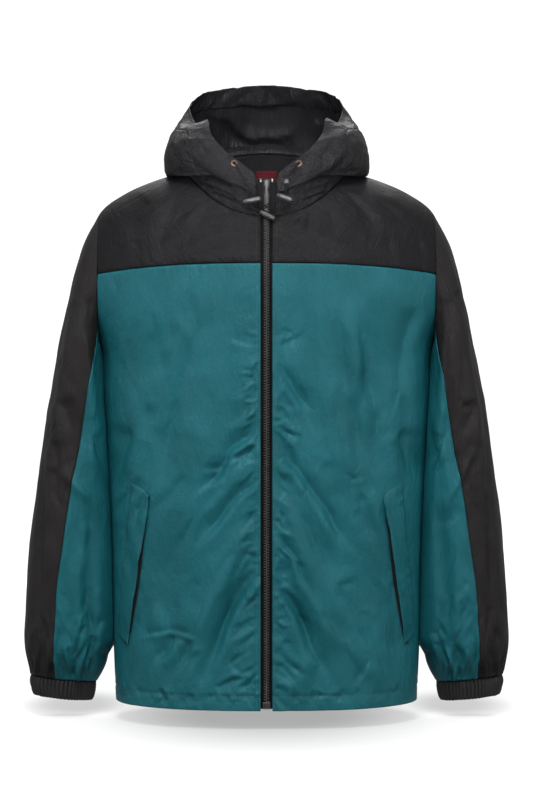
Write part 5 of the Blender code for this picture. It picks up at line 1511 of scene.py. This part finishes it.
for side, word in sides:
    z = np.linspace(zipSizes["bottomZ"], zipSizes["topZ"], 240)[:, None]
    x = np.linspace(halfGap, zipSizes["tapeWidth"], 14)[None, :]
    rib = 0.12 * np.cos(x * 2 * math.pi / zipSizes["rib"]) + 0.5 * bell(x - zipSizes["edgeX"], 0.7)
    points = zipPoint(x * side, z, zipSizes["under"] + rib - 0.3)
    if side < 0:
        points = points[:, ::-1]
    item = sheetPiece("zip_tape_woven_" + word, asSheet(points), materials["tape"],
                      ["zip_tape_" + word], (("high", ((0, 0.4), (0, 0.8))),))


def bossParts(outline, levels):
    # a boss: its outline (x, z) drawn in by an inset at each level out, closed at both ends
    outline = np.asarray(outline, float)
    after = np.roll(outline, -1, axis=0)
    if (outline[:, 0] * after[:, 1] - outline[:, 1] * after[:, 0]).sum() < 0:
        outline = outline[::-1]
    tangent = unit(np.roll(outline, -1, axis=0) - np.roll(outline, 1, axis=0))
    inward = np.stack((-tangent[:, 1], tangent[:, 0]), axis=-1)
    places = [np.column_stack((outline + inward * inset, np.full(len(outline), out)))
              for out, inset in levels]
    return np.concatenate(places), tubeFaces(len(levels), len(outline))


def toothOutline(side):
    # from the tape outwards past the middle, with a rounded head
    reach, past = zipSizes["toothReach"], zipSizes["toothPast"]
    half = ((reach, -0.62), (reach - 0.4, -0.85), (1.6, -0.8), (0.9, -0.55), (0.1, -0.62),
            (-past + 0.35, -0.95), (-past, -0.6))
    return [(side * x, z) for x, z in half] + [(side * x, -z) for x, z in half[::-1]]


teethPoints, teethFaces, offset = [], [], 0
for side, word in sides:
    places, faces = bossParts(toothOutline(side), ((-1.5, 0.1), (0.3, 0.0), (0.75, 0.12), (0.95, 0.38)))
    start = zipSizes["bottomZ"] + zipSizes["boxHeight"] + 1.4 + (0 if side > 0 else zipSizes["pitch"] / 2)
    for z in np.arange(start, zipSizes["sliderLow"] - 1.2, zipSizes["pitch"]):
        teethPoints.append(zipPoint(places[:, 0], places[:, 1] + z, places[:, 2]))
        teethFaces.append(faces + offset)
        offset += len(places)
link("zip_teeth", meshOf("zip_teeth", np.concatenate(teethPoints), np.concatenate(teethFaces)),
     materials["plastic"], ["zip_chain"], sharp=40)


def zipBoss(name, outline, levels, material, nodes=()):
    places, faces = bossParts(outline, levels)
    points = zipPoint(places[:, 0], places[:, 1], places[:, 2])
    return link(name, meshOf(name, points, faces), materials[material], nodes, sharp=40)


def rounded(x1, x2, z1, z2, radius, count=4):
    corners = ((x2 - radius, z1 + radius, -90), (x2 - radius, z2 - radius, 0), (x1 + radius, z2 - radius, 90),
               (x1 + radius, z1 + radius, 180))
    return [(x + radius * math.cos(math.radians(start + 90 * k / count)),
             z + radius * math.sin(math.radians(start + 90 * k / count)))
            for x, z, start in corners for k in range(count + 1)]


sliderHalf = ((2.2, -27.0), (3.3, -26.4), (3.7, -24), (4.2, -20.5), (4.6, -18), (4.5, -15.8), (3.7, -14.6),
              (1.6, -14.5), (0.6, -15.4))
zipBoss("zip_slider_body", sliderHalf + tuple((-x, z) for x, z in sliderHalf[::-1]),
        ((-1.9, 0.25), (-1.6, 0), (0.2, 0.0), (0.35, 0.5), (1.3, 0.5), (1.45, 0), (2.4, 0.05), (2.8, 0.35),
         (2.95, 0.8)), "pull", ["zip_slider"])
for side, word in sides:
    zipBoss("zip_slider_lug_" + word, rounded(*sorted((side * 2.6, side * 3.3)), -24.0, -21.0, 0.3),
            ((2.6, 0), (4.4, 0), (4.8, 0.2)), "pull")
    zipBoss("zip_stop_clip_" + word, rounded(*sorted((side * 6.5, side * 8.9)), -17.8, -13.4, 0.6),
            ((-1.9, 0.1), (1.7, 0), (2.1, 0.25), (2.2, 0.6)), "stop", ["zip_stop_" + word])
boxLow = zipSizes["bottomZ"]
zipBoss("zip_box_moulding", rounded(-5.2, 5.2, boxLow, boxLow + zipSizes["boxHeight"], 1.0),
        ((-1.9, 0.3), (-1.6, 0), (0.9, 0), (1.3, 0.3), (1.45, 0.8), (1.2, 1.2), (1.2, 2.2)), "plastic",
        ["zip_box"])
zipBoss("zip_box_pin", rounded(-1.1, 1.1, -712.0, -705.2, 0.5), ((0.9, 0), (1.6, 0.1), (1.8, 0.4)), "plastic")

# The pull: a knuckle on the pin, a narrow neck and a ribbed grip
pull = {"pivot": (0.0, -123.703, -22.5), "pinRadius": 0.42, "pinHalf": 3.2, "halfWidth": 3.0, "ribs": 10,
        "square": 5.0, "spokes": 20}
tipRadius = 0.02    # radius with which a turned profile ends on its axis


def turnedParts(profile, start, axis, count):
    axis = unit(np.asarray(axis, float))
    first = unit(np.cross(axis, (0.0, 0.0, 1.0) if abs(axis[2]) < 0.9 else (1.0, 0.0, 0.0)))
    second = np.cross(axis, first)
    turn = np.linspace(0, 2 * math.pi, count, endpoint=False)
    spokes = first * np.cos(turn)[:, None] + second * np.sin(turn)[:, None]
    points = np.concatenate([np.asarray(start) + axis * d + spokes * max(r, tipRadius) for d, r in profile])
    return points, gridFaces(len(profile), count, True)


def turnedPiece(name, profile, start, axis, count, material, nodes=(), sharp=35):
    mesh = meshOf(name, *turnedParts(profile, start, axis, count))
    return link(name, mesh, materials[material], nodes, sharp=sharp)


def pullMesh():
    # share of the width, half thickness and height of each ring, from the knuckle down
    rows = ((0.7, 0.30, 0.7), (0.75, 0.62, 0.3), (0.78, 0.7, -0.3), (0.76, 0.62, -0.9), (0.7, 0.5, -1.6),
            (0.62, 0.48, -3.5), (0.62, 0.5, -6.0), (0.66, 0.6, -8.5), (0.74, 0.68, -11.5), (0.9, 0.7, -14.5))
    rows += tuple((0.95 + 0.05 * math.sin((k + 1) * 0.5), 0.7 if k % 2 else 0.5, -15.5 - 0.75 * k)
                  for k in range(pull["ribs"]))
    rows += ((0.92, 0.7, -23.3), (0.75, 0.66, -24.4), (0.45, 0.3, -25.0))
    count = pull["spokes"]
    first, second = ovalShape(np.linspace(0, 2 * math.pi, count, endpoint=False), pull["square"])
    points = np.concatenate([
        np.stack((first * pull["halfWidth"] * wide, second * thick, np.full(count, down)), axis=-1)
        for wide, thick, down in rows])
    return points + np.array(pull["pivot"]), tubeFaces(len(rows), count)[:, ::-1]


link("zip_pull_tab", meshOf("zip_pull_tab", *pullMesh()), materials["pull"], ["zip_pull"],
     "zip_pull", sharp=35)
pin, pinEnd = pull["pinRadius"], 2 * pull["pinHalf"]
turnedPiece("zip_pull_pin", ((0, tipRadius), (0, pin), (pinEnd, pin), (pinEnd, tipRadius)),
            np.array(pull["pivot"]) - (pull["pinHalf"], 0, 0), (1, 0, 0), 12, "stop")
print("zip done")

# Eyelets with rolled rims: distance out and radius
eyelet = {"seat": (42.8, -119.7, 7.1), "normal": (-0.09, -0.90, 0.42),
          "paintedShadeDisc": ((-0.6, 2.5), (-0.55, tipRadius)),
          "rim": ((-0.8, 4.75), (-0.3, 4.8), (0.25, 4.7), (0.7, 4.3), (1.0, 3.7), (1.05, 3.1), (0.75, 2.6),
                  (0.2, 2.35), (-1.2, 2.35))}
for side, word in sides:
    seat, normal = (np.array(eyelet[key]) * (side, 1, 1) for key in ("seat", "normal"))
    turnedPiece("eyelet_rim_" + word, eyelet["rim"], seat, normal, 48, "metal",
                ["eyelet_" + word])
    # a dark disc of painted shade in the eyelet's hole
    turnedPiece("eyelet_hole_painted_shade_" + word, eyelet["paintedShadeDisc"], seat, normal, 24, "dark")

# The drawcord, in two lengths that meet in the end toggle
cord = {"diameter": 2.8, "braid": 0.09, "twist": 1.5, "spokes": 16, "wound": (5.0, 28.0, 3.1),
        "left": ((42.7, -120.4, 7.4), (42.2, -123.4, 8.2), (40.6, -126.2, 5.2), (34.5, -127.0, -4.2),
                 (29.6, -126.8, -9.8), (27.6, -126.8, -14.3), (26.5, -126.8, -17.5), (25.4, -126.8, -20.7),
                 (24.9, -126.2, -27.5), (25.9, -125.2, -34.8), (24.6, -125.1, -38.6), (23.4, -125.1, -42.5),
                 (24.3, -125.5, -48.0), (19.5, -125.3, -54.0), (12.9, -124.6, -57.0), (9.6, -124.2, -61.7),
                 (7.6, -124.2, -63.6)),
        "right": ((-42.7, -120.4, 7.4), (-42.2, -123.4, 8.2), (-40.9, -126.0, 6.0), (-35.5, -127.0, -4.0),
                  (-27.8, -126.6, -17.0), (-24.7, -125.9, -28.0), (-24.4, -125.2, -39.3),
                  (-23.1, -125.1, -43.0), (-21.8, -125.1, -46.5), (-19.8, -125.3, -51.4),
                  (-14.0, -124.9, -54.9), (-9.0, -124.3, -57.1), (-6.6, -124.2, -58.0))}


def tubeParts(path, radius, count, surface):
    tangent = unit(np.gradient(path, axis=0))
    first = np.empty_like(path)
    first[0] = unit(np.cross(tangent[0], (0.3, 0.2, 1.0)))
    for k in range(1, len(path)):
        first[k] = unit(first[k - 1] - tangent[k] * np.dot(first[k - 1], tangent[k]))
    second = np.cross(tangent, first)
    turn = np.linspace(0, 2 * math.pi, count, endpoint=False)
    r = radius * surface(turn[None, :], runningLength(path)[:, None])
    points = (path[:, None] + first[:, None] * (r * np.cos(turn))[..., None]
              + second[:, None] * (r * np.sin(turn))[..., None])
    return points.reshape(-1, 3), tubeFaces(len(path), count)


def braid(turn, reach):
    one = np.sin(4 * turn + cord["twist"] * reach)
    two = np.sin(4 * turn - cord["twist"] * reach)
    return 1 - cord["braid"] + cord["braid"] * np.maximum(one, two)


def woundBraid(turn, reach):
    # twisted thick between the eyelet and the bead
    low, high, pitch = cord["wound"]
    twisted = 1.45 + 0.5 * np.sin(turn - 2 * math.pi * reach / pitch)
    share = ease((reach - low) / 2) * ease((high - reach) / 2)
    return braid(turn, reach) * (1 - share) + twisted * share


cordPieces = {}
for side, word in sides:
    path = smoothPath(cord[word], 0.4)
    parts = tubeParts(path, cord["diameter"] / 2, cord["spokes"], woundBraid if side > 0 else braid)
    stretches = ("upper", "middle", "lower") if side > 0 else ("upper", "lower")
    nodes = [f"cord_{word}_{stretch}" for stretch in stretches]
    item = link("cord_" + word, meshOf("cord_" + word, *parts), materials["cord"], nodes)
    cordPieces[word] = (item, path)

# Barrel toggles, a bead, and the end toggle that both lengths run into
toggles = {
    "toggle_right": ((-31.0, -125.5, -44.6), (-8.0, -124.5, -39.8)),
    "toggle_left": ((14.0, -124.5, -34.8), (34.0, -125.5, -42.0)),
    "toggle_end": ((-8.2, -124.2, -57.5), (10.6, -124.2, -66.5)),
}


def barrelProfile(length):
    # a domed button, a waist, the ribbed barrel and its open end: distance along and radius
    profile = [(0, tipRadius), (0, 1.4), (0.3, 1.9), (0.9, 2.6), (1.6, 2.75), (2.3, 2.6), (2.9, 2.0),
               (3.3, 1.9), (3.6, 2.4), (4.1, 3.05), (4.9, 3.3)]
    ribbed = np.linspace(5.6, length - 2.6, 12)
    profile += [(d, 3.3 - (0.16 if k % 3 == 1 else 0.0)) for k, d in enumerate(ribbed)]
    ends = ((1.6, 3.28), (0.7, 3.0), (0.15, 2.4), (0, 1.6), (0, 0.9), (0.7, 0.8), (0.7, tipRadius))
    return profile + [(length - short, radius) for short, radius in ends]


for name, (start, end) in toggles.items():
    along = np.array(end) - np.array(start)
    turnedPiece(name + "_barrel", barrelProfile(np.linalg.norm(along)), start, along, 40,
                               "toggle", [name])
bead = {"radius": 3.4, "centre": (26.5, -126.8, -17.5), "axis": (0.35, 0.0, 1.0)}
turns = [math.radians(t) for t in range(-64, 65, 8)]
profile = [(bead["radius"] * math.sin(t), bead["radius"] * math.cos(t)) for t in turns]
turnedPiece("cord_bead_round", profile, bead["centre"], bead["axis"], 32, "bead",
                                  ["cord_bead"], sharp=60)
for word, names in (("left", ("cord_bead", "toggle_left", "toggle_end")), ("right", ("toggle_right",))):
    item, path = cordPieces[word]
print("cords done")

# A plain strip inside the back neck
label = {"halfWidth": 15.0, "topZ": 19.0, "bottomZ": 5.0, "clear": 2.5, "wrinkle": 0.25}
z = np.linspace(label["bottomZ"], label["topZ"], 20)
runs = curveRead(torsoRows["backZ"][-5:], torsoRows["run"][-5:], z)[:, None]
x = np.linspace(-label["halfWidth"], label["halfWidth"], 40)[None, :]
angle = -angleAtX(x, runs)
angle = np.where(x > 0, angle, -math.pi - angle)
sheet = asSheet(torso(angle, runs))
inside = sheet["normals"] * np.where(sheet["normals"][..., 1:2] > 0, 1.0, -1.0)
clear = label["clear"] + label["wrinkle"] * ripple(x, z[:, None], 9, 7, 81)
sheet["points"] = (sheet["points"] - inside * clear[..., None])[:, ::-1]
sheet["normals"] = -inside[:, ::-1]
edges = [(edge, ((-0.1, 0.3), (0.3, 0.6))) for edge in ("low", "high", "first", "last")]
item = sheetPiece("label_strip", sheet, materials["label"], ["neck_label"], edges)
